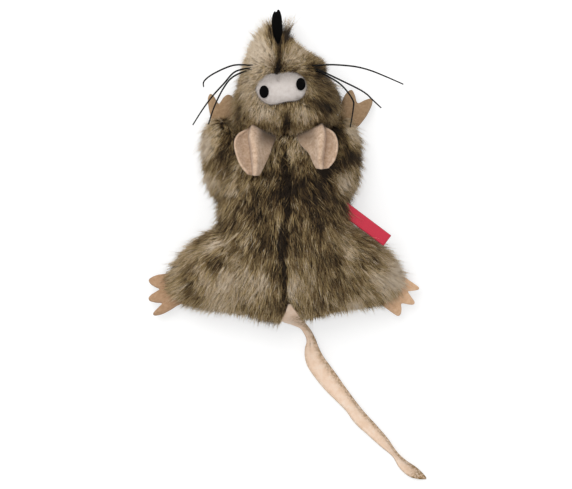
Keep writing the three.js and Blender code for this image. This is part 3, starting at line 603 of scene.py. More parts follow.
# A lock's faces by its seven points, and each corner's place in the lock's own cell of the bake map: three
# sides up to the bend, three above it, and the root
lockFaces = np.array([0, 1, 4, 3, 1, 2, 5, 4, 2, 0, 3, 5, 3, 4, 6, 4, 5, 6, 5, 3, 6, 2, 1, 0])
lockSides = [(0.05 + 0.3 * k, 0.35 + 0.3 * k) for k in range(3)]
lockUv = [place for a, b in lockSides for place in ((a, 0.15), (b, 0.15), (b, 0.5), (a, 0.5))]
lockUv += [place for a, b in lockSides for place in ((a, 0.5), (b, 0.5), ((a + b) / 2, 0.95))]
lockUv += [(0.1, 0.02), (0.5, 0.12), (0.9, 0.02)]
# The turns of a ring's points, a lock's thickness as a share of its width, and its width at the bend
lockShape = {"turns": (90, 210, 330), "flat": 0.5, "bend": 0.85}


def lockMeshes(name, material, root, middle, tip, normal, width, tone, pieces):
    # A lock is a three-sided spike: rings at its root and its bend, and a point. A ring's points are centre +
    # w * (cos(a) * side + flat * sin(a) * rise), with side across the lock and rise = way x side.
    order = np.argsort(root[:, 1], kind="stable")
    a = np.radians(lockShape["turns"])[:, None]
    made = []
    for number, chosen in enumerate(np.array_split(order, pieces), 1):
        start, bend, end, up, w, shade = (v[chosen] for v in (root, middle, tip, normal, width, tone))
        count, way = len(chosen), unit(end - start)
        side = unit(np.cross(way, up))
        ring = np.cos(a) * side[:, None] + lockShape["flat"] * np.sin(a) * np.cross(way, side)[:, None]
        ring = ring * w[:, None, None] / 2
        rings = start[:, None] + ring, bend[:, None] + lockShape["bend"] * ring
        points = np.concatenate([*rings, end[:, None]], 1).reshape(-1, 3)
        sizes = np.tile([4, 4, 4, 3, 3, 3, 3], count)
        corners = (np.arange(count)[:, None] * 7 + lockFaces).ravel()
        across = math.ceil(math.sqrt(count))
        cell = np.stack([np.arange(count) % across, np.arange(count) // across], -1)
        uv = (cell[:, None] + np.array(lockUv)) / across
        values = {"tone": np.repeat(shade, 7), "along": np.tile([0, 0, 0, 0.5, 0.5, 0.5, 1], count)}
        made.append(buildMesh(f"{name}_{number}", points, sizes, corners, material, uv, values))
    return made


def headPlace(across, along):
    # A place on the head in plan from shares of its width and length
    return [headForm["at"][0] + across * headSize["width"], headForm["at"][1] + along * headSize["length"]]


# The felt patch that the eyes are sewn on, as shares of the head's width and length, its painted shade
# towards the front edge, and its pupils
patchSettings = {
    "outline": [(-0.289, 0.404), (-0.268, 0.477), (-0.202, 0.527), (-0.13, 0.542), (-0.092, 0.534),
                (-0.04, 0.546), (0.063, 0.56), (0.164, 0.532), (0.217, 0.445), (0.164, 0.331), (0.009, 0.304),
                (-0.145, 0.28), (-0.241, 0.324)],
    "lift": -0.4 * mm, "thickness": 5.4 * mm, "crown": 2.2, "dimple": (-0.085, 0.56, 5 * mm, 0.8 * mm),
    "bare": 0.93, "frontShade": (0.42, 0.58, 0.6), "slant": 0.17,
    "pupils": {"left": (-0.212, 0.39), "right": (0.16, 0.457)}, "pupil": (5.7 * mm, 7.6 * mm, 1 * mm),
    "pupilLift": 0.9}
patchOutline = smoothRows([headPlace(x, y) for x, y in patchSettings["outline"]], 10, closed=True)
patchBare = patchOutline.mean(0) + patchSettings["bare"] * (patchOutline - patchOutline.mean(0))

# The nose: a leaf of black felt that lies down the snout, with a notch between two lobes at its tip
nose = {"root": (-0.077, 0.81), "level": 23.4 * mm, "slope": math.tan(math.radians(25)),
        "thickness": 3.4 * mm, "crown": 2.4,
        "outline": [(0.3, 21.6), (-0.7, 20.1), (-1.8, 20.5), (-3, 18.1), (-3.5, 13.9), (-2.9, 8.5), (-1.4, 4),
                    (0.5, 0.8), (2.2, 4.3), (2.9, 9.1), (2.9, 13.9), (2.4, 17.8), (1.5, 20.7)]}
noseRoot = np.array(headPlace(*nose["root"]))
noseOutline = smoothRows(noseRoot + np.array(nose["outline"]) * mm, 8, closed=True)

# Where locks grow longer or shorter: the change, and the spans in millimetres over which it comes in, aside
# being the distance from the middle line. Beside a seam they are clipped shorter.
lengthChanges = {
    "head": [(0.4, {"aside": (16, 26)}), (1.2, {"y": (108, 124), "x": (11, -3)}),
             (0.35, {"y": (76, 67), "aside": (24, 16)})],
    "body": [(0.2, {"y": (-34, -42), "x": (15, -15)}), (-0.3, {"y": (-36, -42), "x": (0, 8)})],
}
seamClip = {"share": 0.4, "reach": 1.6}


def lengthShare(points, part):
    # Product of 1 + change * step * step over the changes and 1 - share * exp(-(distance / reach)^2) at seams
    share = np.ones(len(points))
    places = {"x": points[:, 0], "y": points[:, 1], "aside": np.abs(points[:, 0] - rump[0])}
    for name in headSeams if part == "head" else bodySeams:
        share *= 1 - seamClip["share"] * besideSeam(points, name, seamClip["reach"])
    for change, spans in lengthChanges["head" if part == "head" else "body"]:
        for axis, (low, high) in spans.items():
            change = change * smoothStep(low * mm, high * mm, places[axis])
        share *= 1 + change
    return share


# Places that the pile is clipped away from: the felt of patch and nose, and the tail's tab
tab = [(2, -34.5), (0.4, -38.5), (-3, -45.5), (-2, -49), (9, -49), (9.5, -45), (5.5, -39)]
bare = {"head": [patchBare, noseOutline], "body": [np.array(tab) * mm]}


def overBare(part, points):
    # Whether each point lies, in plan, within one of the form's bare places
    return sum(insideOutline(points, outline) for outline in bare[part]) > 0


def growCoat(part, coat):
    # A lock runs 45% of its length along the normal and the nap, and bends over to lie along the nap, which
    # is the comb less what of it would run into the skin. Locks stand up more where the skin is steep, so the
    # outline is fluffy.
    form, rng = forms[part], np.random.default_rng(coat["seed"])
    u, phi = scatter(form, coat["count"], rng)
    root, normal = formPoints(form, u, phi), formNormals(form, u, phi)
    keep = ~((root[:, 2] < locks["pressed"][0]) & (normal[:, 2] < locks["pressed"][1]))
    keep &= (normal[:, 2] > locks["below"][0]) | (rng.random(len(root)) > locks["below"][1])
    for other, shape in forms.items():
        if other != part:
            keep &= depthInside(shape, root) < locks["skip"]
    if part in bare:
        keep &= ~(overBare(part, root) & (normal[:, 2] > 0))
    wispy, near, far = locks["wispy"]
    keep &= rng.random(len(root)) > wispy * smoothStep(near, far, root[:, 1])
    root, normal = root[keep], normal[keep]
    size, strength = locks["warp"]
    warp = np.stack([noiseAt(root, size, k) for k in (4, 5, 6)], -1) - 0.5
    cell = np.floor(root / coat["tuft"] + strength * warp)
    group = np.unique(cell, axis=0, return_inverse=True)[1].ravel()
    tufts = group.max() + 1
    comb = combAt(root, part == "head")
    facing = np.sum(comb * normal, 1, keepdims=True)
    against, along = np.clip(-facing, 0, 1), np.clip(facing, 0, 1)
    nap = comb - np.minimum(facing, 0) * normal
    nap = nap / (np.linalg.norm(nap, axis=1, keepdims=True) + locks["stiff"])
    edge = 1 - np.abs(normal[:, 2:])
    rootEdge, rootAgainst, tipEdge = locks["steep"]
    first, second = coat["stand"]
    stand = first * (1 + rootEdge * edge + rootAgainst * against), second + tipEdge * edge
    lean = rng.normal(0, tuftVaries["lean"], (tufts, 3))[group]
    stray = rng.normal(0, lockVaries["lean"], (2, len(root), 3)) + lean
    isGuard = rng.random((len(root), 1)) < guard["share"]
    length = coat["length"] * rng.uniform(*locks["length"], (len(root), 1))
    length *= np.where(isGuard, guard["longer"], 1)
    length *= rng.uniform(1 - tuftVaries["length"], 1 + tuftVaries["length"], (tufts, 1))[group]
    whenAgainst, whenAlong, atEdge = locks["shorter"]
    length *= (1 - whenAgainst * against) * (1 - whenAlong * along) * (1 - atEdge * edge)
    length *= lengthShare(root, part)[:, None]

    def bendOver(length):
        bend, down = locks["bend"], [0, 0, locks["droop"]]
        middle = root + bend * length * unit(stand[0] * normal + nap + stray[0])
        return middle, middle + (1 - bend) * length * unit(stand[1] * normal + nap + stray[1] - down)

    def isOver(points):
        return overBare(part, points) & (points[:, 2] > locks["over"])

    middle, tip = bendOver(length)
    if part in bare:
        for attempt in range(2):  # locks that would lie on the bare place are clipped, and then left out
            length = np.where(isOver(tip)[:, None], locks["clip"] * length, length)
            middle, tip = bendOver(length)
        keep = ~isOver(tip)
        kept = [values[keep] for values in (root, normal, middle, tip, group, isGuard)]
        root, normal, middle, tip, group, isGuard = kept
    pull = coat["gather"] * rng.uniform(*locks["pull"], (len(root), 1))
    pull *= np.where(isGuard, guard["gather"], 1)
    middle, tip = drawTogether(middle, group, locks["bendPull"] * pull), drawTogether(tip, group, pull)
    gap, uneven = locks["floor"]
    for points in (root, middle, tip):
        points[:, 2] = np.maximum(points[:, 2], gap + uneven * rng.random(len(root)))
    tone = toneAt(part, 0.5 * tip + 0.5 * drawTogether(tip, group, 1), coat["tone"])
    tone += rng.normal(0, tuftVaries["tone"], tufts)[group] + rng.normal(0, lockVaries["tone"], len(root))
    width = coat["width"] * rng.uniform(*locks["width"], len(root))
    width *= np.where(isGuard[:, 0], guard["width"], 1)
    made = root, middle, tip, normal, width, np.clip(tone, 0, 1)
    if part in bare:  # nor does a drawn tuft cross a bare place
        keep = ~(isOver(middle) | isOver(0.5 * (middle + tip)) | isOver(tip))
        made = [values[keep] for values in made]
    return lockMeshes(f"{part}_fur", plush, *made, coat["pieces"])


# The skins' rings along a form, their sides round it, and the lowest level that they come down to
skinSettings = {"rings": 110, "sides": 72, "floor": 0.1 * mm}


def follow(piece, part):
    # The body's pieces ride on it. The others have their placing baked into their points.
    if part == "body":
        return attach(piece, "body")
    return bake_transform(piece)


for part, form in forms.items():
    u = np.linspace(0.004, 0.996, skinSettings["rings"])
    phi = np.linspace(0, 2 * math.pi, skinSettings["sides"], endpoint=False)
    grid = formPoints(form, u[:, None], phi[None, :])
    grid[..., 2] = np.maximum(grid[..., 2], skinSettings["floor"])
    tone = np.clip(toneAt(part, grid.reshape(-1, 3), coats[part]["tone"]), 0, 1).reshape(grid.shape[:2])
    skin = closedTube(f"{part}_skin", grid, backing, values={"tone": tone})
    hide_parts(part, *([f"{part}_stuffing"] if part in ("body", "head") else []))
    follow(skin, part)
print("stuffed skins made")

for part, coat in coats.items():
    for piece in growCoat(part, coat):
        follow(piece, part)
    print(part, "fur grown")


def softFelt(name, stops, size, bloom, darkening="#5f4a33", gloss=0.2):
    # Pressed wool felt: no weave, only matted fibres, so it looks soft and dull with faint blotches and a
    # pale bloom at grazing angles. Its fibres are 0.02 mm, its blotches 1 to 3 mm. Where the mesh's darkening
    # attribute is set, it turns towards a darker colour: on an ear partly dust and partly painted shade, on
    # the eye patch painted shade.
    material, tree = newMaterial(name)
    colour = ramp(tree, noise(tree, size, 5, 0.8), stops)
    # Mixes in painted shade, with some dust on the ears, where the mesh's attribute is set
    shadedAndDusty = mixed(tree, attribute(tree, "shadeAndDust"), colour, darkening)
    endMaterial(tree, shadedAndDusty, (noise(tree, 0.35 * mm, 4, 0.7), 0.5, 0.3 * mm), Roughness=0.95,
                Specular_IOR_Level=gloss, Sheen_Weight=bloom, Sheen_Roughness=0.6)
    return material


felts = {}
# The three paw felts stand for one felt: the front paws' and the left hind paw's are darkened as painted
# shade, the right hind paw's is lightened as painted light
for name, size, bloom, stops, more in [
        ("beige", 2.2, 0.2, [(0.3, "#ab8b70"), (0.5, "#cfb196"), (0.7, "#e6cfb8")], {}),
        ("pale_lit", 2.2, 0.2, [(0.25, "#cda37c"), (0.5, "#e3ba95"), (0.75, "#f3d3b2")], {}),
        ("tan", 1.8, 0.15, [(0.25, "#8f7354"), (0.5, "#a98a69"), (0.75, "#c0a383")], {}),
        ("dun_shaded", 1.8, 0.15, [(0.25, "#9e7b5b"), (0.5, "#b99473"), (0.75, "#cdab8c")], {}),
        # The white felt's darker colour is the eye patch's painted shade
        ("white", 2.5, 0.1, [(0.25, "#c9c0b9"), (0.5, "#d8cfc9"), (0.8, "#e4deda")], {"darkening": "#8b837b"}),
        ("black", 1.2, 0.01, [(0.25, "#020202"), (0.6, "#070606"), (0.85, "#151210")], {"gloss": 0.05})]:
    felts[name] = softFelt(f"pressed_felt_{name}", stops, size * mm, bloom, **more)


def feltPad(name, outline, base, thickness, material, crown=2.6, rings=26, level=None, middle=None,
            shade=None):
    # A pad from its outline: at share r of the way to it, the top stands at base + thickness * (rim + (1 -
    # rim) * k) and the underside at base + thickness * rim * (1 - k), with k = (1 - r^crown)^(1 / 2).
    rim = 0.35
    middle = outline.mean(0) if middle is None else middle
    share = np.sin(np.linspace(0.02, 1, rings) * math.pi / 2)[:, None, None]
    plan = middle + share * (outline - middle)
    floor = base(plan[..., 0], plan[..., 1])
    rise = np.sqrt(np.clip(1 - share[..., 0] ** crown, 0, 1))
    top = np.dstack([plan, floor + thickness * (rim + (1 - rim) * rise)])
    if level:
        top[..., 2] += level(plan[..., 0], plan[..., 1]) * rise
    under = np.dstack([plan, floor + thickness * rim * (1 - rise)])[::-1]
    grid = np.concatenate([top, under[1:]])
    return closedTube(name, grid, material, values={"shadeAndDust": shade(grid)} if shade else None)


def onHead(gap):
    # The level of the head's top plus a gap, as a function of the place in plan
    return lambda x, y: topOf(headForm, x, y) + gap


def dimpled(x, y):
    # A shallow bell pressed into the patch's front edge where the two felt rounds meet
    across, along, reach, depth = patchSettings["dimple"]
    middleX, middleY = headPlace(across, along)
    return -depth * bell((x - middleX) / reach, (y - middleY) / reach)


def shadedAtFront(grid):
    # Painted shade: the patch darkens towards its front edge, where it faces away from the lamp
    back, front, most = patchSettings["frontShade"]
    ahead = grid[..., 1] - patchSettings["slant"] * grid[..., 0]
    return most * smoothStep(headPlace(0, back)[1], headPlace(0, front)[1], ahead)


onPatch = onHead(patchSettings["lift"])
patch = feltPad("eye_patch_felt", patchOutline, onPatch, patchSettings["thickness"], felts["white"],
                crown=patchSettings["crown"], level=dimpled, shade=shadedAtFront)
settle(patch, "felt_white", "head", "eye_patch")

# Loose fibres of the patch: count, length, width, how much denser they are at its rim, how far they stray and
# lean, and the levels in its thickness that they start from
fuzz = {"count": 5000, "length": 1.7 * mm, "shortest": 0.4, "width": 0.13 * mm, "rim": 0.35,
        "stray": 0.1 * mm, "up": 0.35, "lean": (0.45, 0.4), "level": (0.3, 0.65), "seed": 8}


def growFuzz(outline):
    # A root lies at share r of the way from the patch's middle to its outline, r being a random number to the
    # power rim. The fibre leaves along outwards * r^3 + up * (1 - r^3) with a random lean.
    rng = np.random.default_rng(fuzz["seed"])
    r = rng.random(fuzz["count"])[:, None] ** fuzz["rim"]
    spot = outline[rng.integers(len(outline), size=fuzz["count"])]
    middle = outline.mean(0)
    plan = middle + r * (spot - middle) + rng.normal(0, fuzz["stray"], spot.shape)
    rise = np.sqrt(np.clip(1 - r[:, 0] ** patchSettings["crown"], 0, 1))
    level = onPatch(plan[:, 0], plan[:, 1]) + dimpled(plan[:, 0], plan[:, 1]) * rise
    low, more = fuzz["level"]
    root = np.column_stack([plan, level + patchSettings["thickness"] * (low + more * rise)])
    out = np.column_stack([unit(spot - middle), np.zeros(len(spot))])
    first, second = fuzz["lean"]
    way = out * r ** 3 + (1 - r ** 3) * np.array([0, 0, fuzz["up"]]) + rng.normal(0, first, root.shape)
    length = fuzz["length"] * rng.uniform(fuzz["shortest"], 1, r.shape)
    bend = root + 0.5 * length * unit(way)
    tip = bend + 0.5 * length * unit(way + rng.normal(0, second, root.shape))
    width = np.full(len(root), fuzz["width"])
    up = np.tile([0, 0.1, 1.0], (len(root), 1))
    return lockMeshes("eye_patch_fuzz", felts["white"], root, bend, tip, up, width, width, 1)


for piece in growFuzz(patchOutline):
    settle(piece, "felt_white", "head")
onFelt = onHead(patchSettings["lift"] + patchSettings["pupilLift"] * patchSettings["thickness"])
for side, place in patchSettings["pupils"].items():
    width, length, height = patchSettings["pupil"]
    turn = np.linspace(0, 2 * math.pi, 48, endpoint=False)
    oval = np.array(headPlace(*place)) + np.stack([width / 2 * np.cos(turn), length / 2 * np.sin(turn)], -1)
    pupil = feltPad(f"pupil_{side}_felt", oval, onFelt, height, felts["black"], rings=14)
    settle(pupil, "felt_black", "head", f"pupil_{side}")
print("eye patch made")

# Felt paws: each outline in plan in millimetres, which begins and ends under the limb's fur. The front paws
# and the left hind paw have felt darkened as painted shade, the right hind paw felt lightened as painted
# light
paws = {
    "front_paw_left": {"limb": "arm_left", "felt": "tan", "outline": [
        (-43.6, 69.5), (-44.8, 74.3), (-46.1, 80.3), (-47.1, 86.3), (-46.9, 89.6), (-45.5, 91.5),
        (-43.4, 89.9), (-41.9, 87.3), (-40.5, 85.6), (-39.2, 87), (-37.6, 89.4), (-35.2, 91), (-32.6, 90.1),
        (-31.4, 86.9), (-31.3, 82.1), (-32, 76.1), (-33.7, 69.5)]},
    "front_paw_right": {"limb": "arm_right", "felt": "tan", "outline": [
        (31, 71.4), (31.9, 79.9), (33.9, 87.7), (36.7, 92.5), (39.6, 93.8), (41.4, 90.8), (43.1, 86),
        (47.3, 87.7), (51.1, 88.7), (52.1, 86.7), (50.8, 82.6), (47.3, 76.5), (41.2, 70.6)]},
    "hind_paw_left": {"limb": "leg_left", "felt": "dun_shaded", "outline": [
        (-60.7, -23.5), (-64.9, -18.1), (-69.1, -16.9), (-73.3, -16.9), (-78.1, -17.7), (-81.8, -19.5),
        (-82.7, -21.1), (-81.4, -23.2), (-78.4, -25.1), (-76.3, -26.1), (-78.4, -27.6), (-81.2, -29.4),
        (-82.8, -31.5), (-81.8, -33.4), (-78.1, -34.3), (-74.8, -34.7), (-76.9, -37), (-79.4, -39.6),
        (-80.1, -41.2), (-78.7, -42.1), (-74.5, -41.2), (-69.7, -38.8), (-65.5, -36.1), (-59.5, -32.5)]},
    "hind_paw_right": {"limb": "leg_right", "felt": "pale_lit", "outline": [
        (53.9, -24.7), (61.1, -17.5), (69.5, -18.1), (73.7, -20.5), (77.3, -22.9), (80, -25.1),
        (79.4, -26.5), (76.1, -27.1), (73.4, -27.4), (75.1, -30.4), (77.3, -33.7), (76.6, -35.4),
        (73.4, -35.3), (69.5, -34.8), (69.5, -37.9), (69.1, -40.9), (67.7, -42.3), (65.6, -41.5),
        (61.7, -38.8), (57.5, -35.8), (52.1, -32.5)]},
}
pawSettings = {"thickness": 2.4 * mm, "droop": 3 * mm, "reach": 17 * mm, "toBase": 0.75, "crown": 7}

for name, paw in paws.items():
    tip = formPoints(forms[paw["limb"]], np.array([1.0]), np.array([0.0]))[0]
    outline = smoothRows(np.array(paw["outline"]) * mm, 6, closed=True)

    def level(x, y, tip=tip):
        # The paw droops with the square of the distance from the limb's tip
        away = np.hypot(x - tip[0], y - tip[1]) / pawSettings["reach"]
        return tip[2] - pawSettings["thickness"] / 2 - pawSettings["droop"] * away ** 2

    base = np.array([paw["outline"][0], paw["outline"][-1]]).mean(0) * mm
    middle = outline.mean(0) + pawSettings["toBase"] * (base - outline.mean(0))
    piece = feltPad(f"{name}_felt", outline, level, pawSettings["thickness"], felts[paw["felt"]],
                    crown=pawSettings["crown"], rings=30, middle=middle)
    settle(piece, "felt_beige", name, name)

leaf = feltPad("nose_felt", noseOutline, lambda x, y: nose["level"] - nose["slope"] * (y - noseRoot[1]),
               nose["thickness"], felts["black"], crown=nose["crown"])
settle(leaf, "felt_black", "head", "nose")

# Ears: each row, from inside the head to the tip, holds the outer edge, the ridge and the inner edge in plan
# as shares of ear width and length, then rise and fold. Outside the ridge lies an open cup with a raised rim,
# and inside it a smooth slope. Across lists places from the outer edge, 0, over the ridge, 1, to the inner
# edge, 2, with their level as a share of the fold and their darkening: partly dust, partly painted shade in
# the cup below the ridge and towards the inner edge. Each ear's own value scales its darkening.
ears = {
    "left": {"root": (-0.232, 0.066), "earShadeAndDust": 1.1, "rows": [
        (-0.4, -0.06, -0.3, -0.1, 0.42, 0.08, -0.4, 0.1), (-0.48, 0.02, -0.28, -0.04, 0.42, 0.18, 0, 0.7),
        (-0.73, 0.13, -0.3, 0.15, 0.32, 0.34, 0.3, 1), (-0.82, 0.33, -0.22, 0.4, 0.22, 0.52, 0.55, 1.05),
        (-0.67, 0.68, -0.19, 0.7, 0.04, 0.77, 0.8, 0.85), (-0.4, 0.91, -0.22, 0.94, -0.07, 0.93, 1, 0.35)]},
    "right": {"root": (0.263, 0.07), "earShadeAndDust": 0.75, "rows": [
        (0.42, -0.08, 0.34, -0.12, -0.42, 0.08, -0.4, 0.1), (0.48, 0, 0.32, -0.06, -0.42, 0.16, 0, 0.7),
        (0.7, 0.12, 0.35, 0.13, -0.32, 0.32, 0.3, 1), (0.79, 0.35, 0.3, 0.38, -0.06, 0.5, 0.55, 1.05),
        (0.7, 0.62, 0.26, 0.62, 0.06, 0.68, 0.8, 0.85), (0.49, 0.79, 0.31, 0.82, 0.15, 0.8, 1, 0.35)]},
}
earSize = {"width": 20 * mm, "length": 30 * mm, "rise": 17 * mm, "fold": 8 * mm, "thickness": 1.5 * mm,
           "level": 0.7, "flat": (32 * mm, 36 * mm), "area": 0.85, "rootShade": (0.85, 0.5, 0.05, 1.12, 1.5),
           "across": [(0, 0.62, 0), (0.1, 0.4, 0.1), (0.35, 0.06, 0.2), (0.65, -0.02, 0.26), (0.8, 0.15, 0.4),
                      (0.9, 0.85, 0.05), (1, 1, 0), (1.14, 0.97, 0), (1.4, 0.6, 0.12), (1.7, 0.25, 0.22),
                      (2, 0, 0.35)]}


def earSurface(ear):
    # A row's place is outer + (ridge - outer) * s up to the ridge and ridge + (inner - ridge) * (s - 1)
    # beyond it. The level is root + rise + fold * share, and cubics join rows and places.
    ox, oy, rx, ry, ix, iy, rise, fold = (column[None, :] for column in smoothRows(ear["rows"], 9).T)
    s, share, earShadeAndDust = (column[:, None] for column in np.array(earSize["across"]).T)
    near, far = np.minimum(s, 1), np.maximum(s - 1, 0)
    x, y = ox + (rx - ox) * near + (ix - rx) * far, oy + (ry - oy) * near + (iy - ry) * far
    z = rise * earSize["rise"] + fold * earSize["fold"] * share
    root = [*headPlace(*ear["root"]), earSize["level"] * headSize["height"]]
    # Painted shade on the inner slope near the root, where it runs under the head's fur
    most, reach, least, start, full = earSize["rootShade"]
    earShadeAndDust = earShadeAndDust + most * smoothStep(reach, least, y) * smoothStep(start, full, s)
    grid = np.stack([root[0] + x * earSize["width"], root[1] - y * earSize["length"], root[2] + z, earShadeAndDust], -1)
    grid = smoothRows(grid, 6)
    return grid[..., :3], np.clip(ear["earShadeAndDust"] * grid[..., 3], 0, 1)


for side, ear in ears.items():
    grid, shadeAndDust = earSurface(ear)
    piece = closedSheet(f"ear_{side}_felt", grid, earSize["thickness"], felts["beige"],
                        values={"shadeAndDust": shadeAndDust})
    settle(piece, "felt_beige", f"ear_{side}", f"ear_{side}")
print("felt pieces made")


def suedeMaterial():
    # Suede split leather: a short matt nap, cloudy where it lies either way, darkened to olive in specks
    # where the mesh's edge value is set: along the folded right edge as painted shade, and at a spot, the
    # left edge and the worn tip. The clouds are 3 to 6 mm, the grain 0.4 mm, the specks 1.6 mm.
    material, tree = newMaterial("suede_split")
    cloud = ramp(tree, noise(tree, 4 * mm, 6, 0.6), [(0.25, "#eccbad"), (0.5, "#f8dbc2"), (0.75, "#ffebd8")])
    darkening = mapped(tree, noise(tree, 1.6 * mm, 4, 0.8), From_Min=0.42, From_Max=0.6, To_Min=0.4, To_Max=1.2)
    dark = calculated(tree, "MULTIPLY", attribute(tree, "edge"), darkening)
    relief = noise(tree, 0.4 * mm, 3), 0.5, 0.25 * mm
    endMaterial(tree, mixed(tree, dark, cloud, "#86683a"), relief, Roughness=0.88, Specular_IOR_Level=0.25,
                Sheen_Weight=0.15)
    return material


# The tail's rows from its sewn-in tab: place as shares of its reach, width, roll in degrees, and level as a
# share of the body's height where it isn't down on the floor. Hem is painted shade along the folded right
# edge, which narrows between two places along the tail and begins between two more.
tail = {"reach": 97 * mm, "width": 11.4 * mm, "thickness": 1.3 * mm, "gap": 0.3 * mm, "curl": 0.35,
        "root": 0.04, "square": (0.055, 0.16), "flat": (11.4 * mm, 150 * mm), "area": 0.8, "rows": [
            (0, 0.12, 0.1, 0, 0.6), (-0.003, 0.088, 0.16, 0, 0.71), (-0.001, 0.055, 0.42, 0, 0.7),
            (0.005, 0.025, 0.74, 0, 0.62), (0.01, -0.003, 1.05, 0, 0.51), (0.017, -0.024, 1.24, 0, 0.38),
            (0.05, -0.043, 0.84, 0, 0.24), (0.086, -0.066, 0.52, 0, 0.12), (0.108, -0.094, 0.46, 6, 0.04),
            (0.124, -0.126, 0.44, 14, 0), (0.134, -0.16, 0.55, 18, 0), (0.138, -0.2, 0.78, 16, 0),
            (0.15, -0.25, 0.96, 10, 0), (0.175, -0.302, 1.02, 5, 0), (0.247, -0.401, 1, 0, 0),
            (0.318, -0.481, 0.86, 12, 0), (0.383, -0.556, 0.76, 22, 0), (0.438, -0.63, 0.78, 12, 0),
            (0.512, -0.704, 0.7, 15, 0), (0.586, -0.778, 0.62, 30, 0), (0.654, -0.852, 0.5, 55, 0),
            (0.707, -0.917, 0.6, 30, 0), (0.759, -0.96, 0.62, 12, 0), (0.803, -0.986, 0.42, 6, 0),
            (0.846, -1.006, 0.05, 0, 0)]}
hem = {"dark": 0.9, "edge": 0.9, "narrows": (0.8, 0.25, 0.5), "power": 1.3, "fades": 0.3,
       "from": (0.12, 0.17)}
# The tail's other dark places: a spot at 42% of the way, the left edge and the worn tip
spot, leftEdge, wornTip = (0.6, 0.42, 0.05, 0.3, 0.15), (0.3, 0.75, 1), (0.9, 0.88, 0.96)


def tailSurface():
    # The strip's line, with across = (line x up) turned by the roll, and edges that curl up by curl * half
    # width * e^4, e running from -1 to 1 across it. On the tab, across is level and along X.
    x, y, width, roll, level = smoothRows(tail["rows"], 9).T
    half, roll = np.maximum(width, 0.05) * tail["width"] / 2, np.radians(roll)
    down = tail["gap"] + half * np.abs(np.sin(roll)) + tail["thickness"] / 2
    line = rump + np.stack([tail["root"] * bodySize["width"] + x * tail["reach"], y * tail["reach"],
                            np.maximum(level * bodySize["height"], down)], -1)
    along = unit(np.gradient(line, axis=0))
    free = smoothStep(*tail["square"], -y)[:, None]
    flat = unit(free * np.cross(along, [0, 0, 1]) + (1 - free) * np.array([-1, 0, 0]))
    across = flat * np.cos(roll)[:, None] + unit(np.cross(along, flat)) * np.sin(roll)[:, None]
    face = unit(np.cross(across, along))
    e = np.linspace(-1, 1, 17)
    grid = line[:, None] + across[:, None] * (half[:, None] * e)[..., None]
    grid = grid + face[:, None] * (tail["curl"] * free * half[:, None] * np.abs(e) ** 4)[..., None]
    toTip = np.linspace(0, 1, len(line))[:, None]
    # Painted shade along the folded right edge
    less, start, end = hem["narrows"]
    inner = hem["edge"] - less * smoothStep(start, end, toTip)
    dark = hem["dark"] * smoothStep(inner, -1, e) ** hem["power"] * (1 - hem["fades"] * toTip)
    dark = dark * smoothStep(*hem["from"], toTip)
    share, middle, reach, aside, width = spot
    dark = dark + share * bell((toTip - middle) / reach, (e - aside) / width)
    dark = dark + leftEdge[0] * smoothStep(*leftEdge[1:], e) + wornTip[0] * smoothStep(*wornTip[1:], toTip)
    return grid, np.clip(dark, 0, 1)


grid, edge = tailSurface()
strip = closedSheet("tail_suede", grid, tail["thickness"], suedeMaterial(), values={"edge": edge})
settle(strip, "suede", "tail", "tail")

# A ribbon folded into a flat loop: out along the underside, round the fold and back
label = {"length": 37 * mm, "width": 8 * mm, "thickness": 0.4 * mm, "bend": 0.8 * mm, "turn": -126.9,
         "root": (0.41, 0.565), "level": 0.52, "sag": 1.2 * mm, "rib": 0.5 * mm}


def ribbonMaterial():
    # Polyester taffeta ribbon: crimson, tightly woven, with a fine rib across it and a soft sheen. A rib is
    # 0.25 mm, drawn at 0.5 mm so that it shows. A Mapping node turns the ribs to the ribbon.
    material, tree = newMaterial("woven_ribbon")
    place = addNode(tree, "ShaderNodeTexCoord").outputs["Object"]
    alongRibbon = addNode(tree, "ShaderNodeMapping", {"Vector": place},
                          Rotation=(0, 0, -math.radians(label["turn"]))).outputs["Vector"]
    rib = addNode(tree, "ShaderNodeTexWave", {"Vector": alongRibbon}, bands_direction="Y",
                  Scale=2 * math.pi / (20 * label["rib"]), Distortion=0.6, Detail=2).outputs["Fac"]
    colour = ramp(tree, rib, [(0.1, "#b81230"), (0.9, "#de2748")])
    endMaterial(tree, colour, (rib, 0.4, 0.1 * mm), Roughness=0.6, Sheen_Weight=0.2)
    return material


def labelSurface():
    # Level loop: a straight run, a half circle of the bend's radius, and the run back above it
    bend, turn = label["bend"], math.radians(label["turn"])
    run = np.linspace(0, label["length"] - label["thickness"] - bend, 40)
    arc = np.linspace(-math.pi / 2, math.pi / 2, 13)[1:-1]
    out = np.concatenate([run, run[-1] + bend * np.cos(arc), run[::-1]])
    up = np.concatenate([0 * run, bend * (1 + np.sin(arc)), 0 * run + 2 * bend])
    up = up - label["sag"] * (out / label["length"]) ** 2
    e = np.linspace(-0.5, 0.5, 13) * label["width"]
    x, y = turned(e[None, :], out[:, None], turn)
    root = rump + [label["root"][0] * bodySize["width"], label["root"][1] * bodySize["length"],
                   label["level"] * bodySize["height"] + label["thickness"] / 2]
    return root + np.stack(np.broadcast_arrays(x, y, up[:, None]), -1)


ribbon = closedSheet("side_label_ribbon", labelSurface(), label["thickness"], ribbonMaterial())
settle(ribbon, "ribbon_red", "side_label", "side_label")
print("tail and label made")


def threadMaterial():
    # Waxed nylon thread: nearly black, stiff and smooth, so it takes a thin grey highlight
    material, tree = newMaterial("waxed_thread")
    wax = ramp(tree, noise(tree, 2 * mm, 2), [(0.3, "#020202"), (0.7, "#0b0807")])
    endMaterial(tree, wax, Roughness=0.5, Specular_IOR_Level=0.12)
    return material


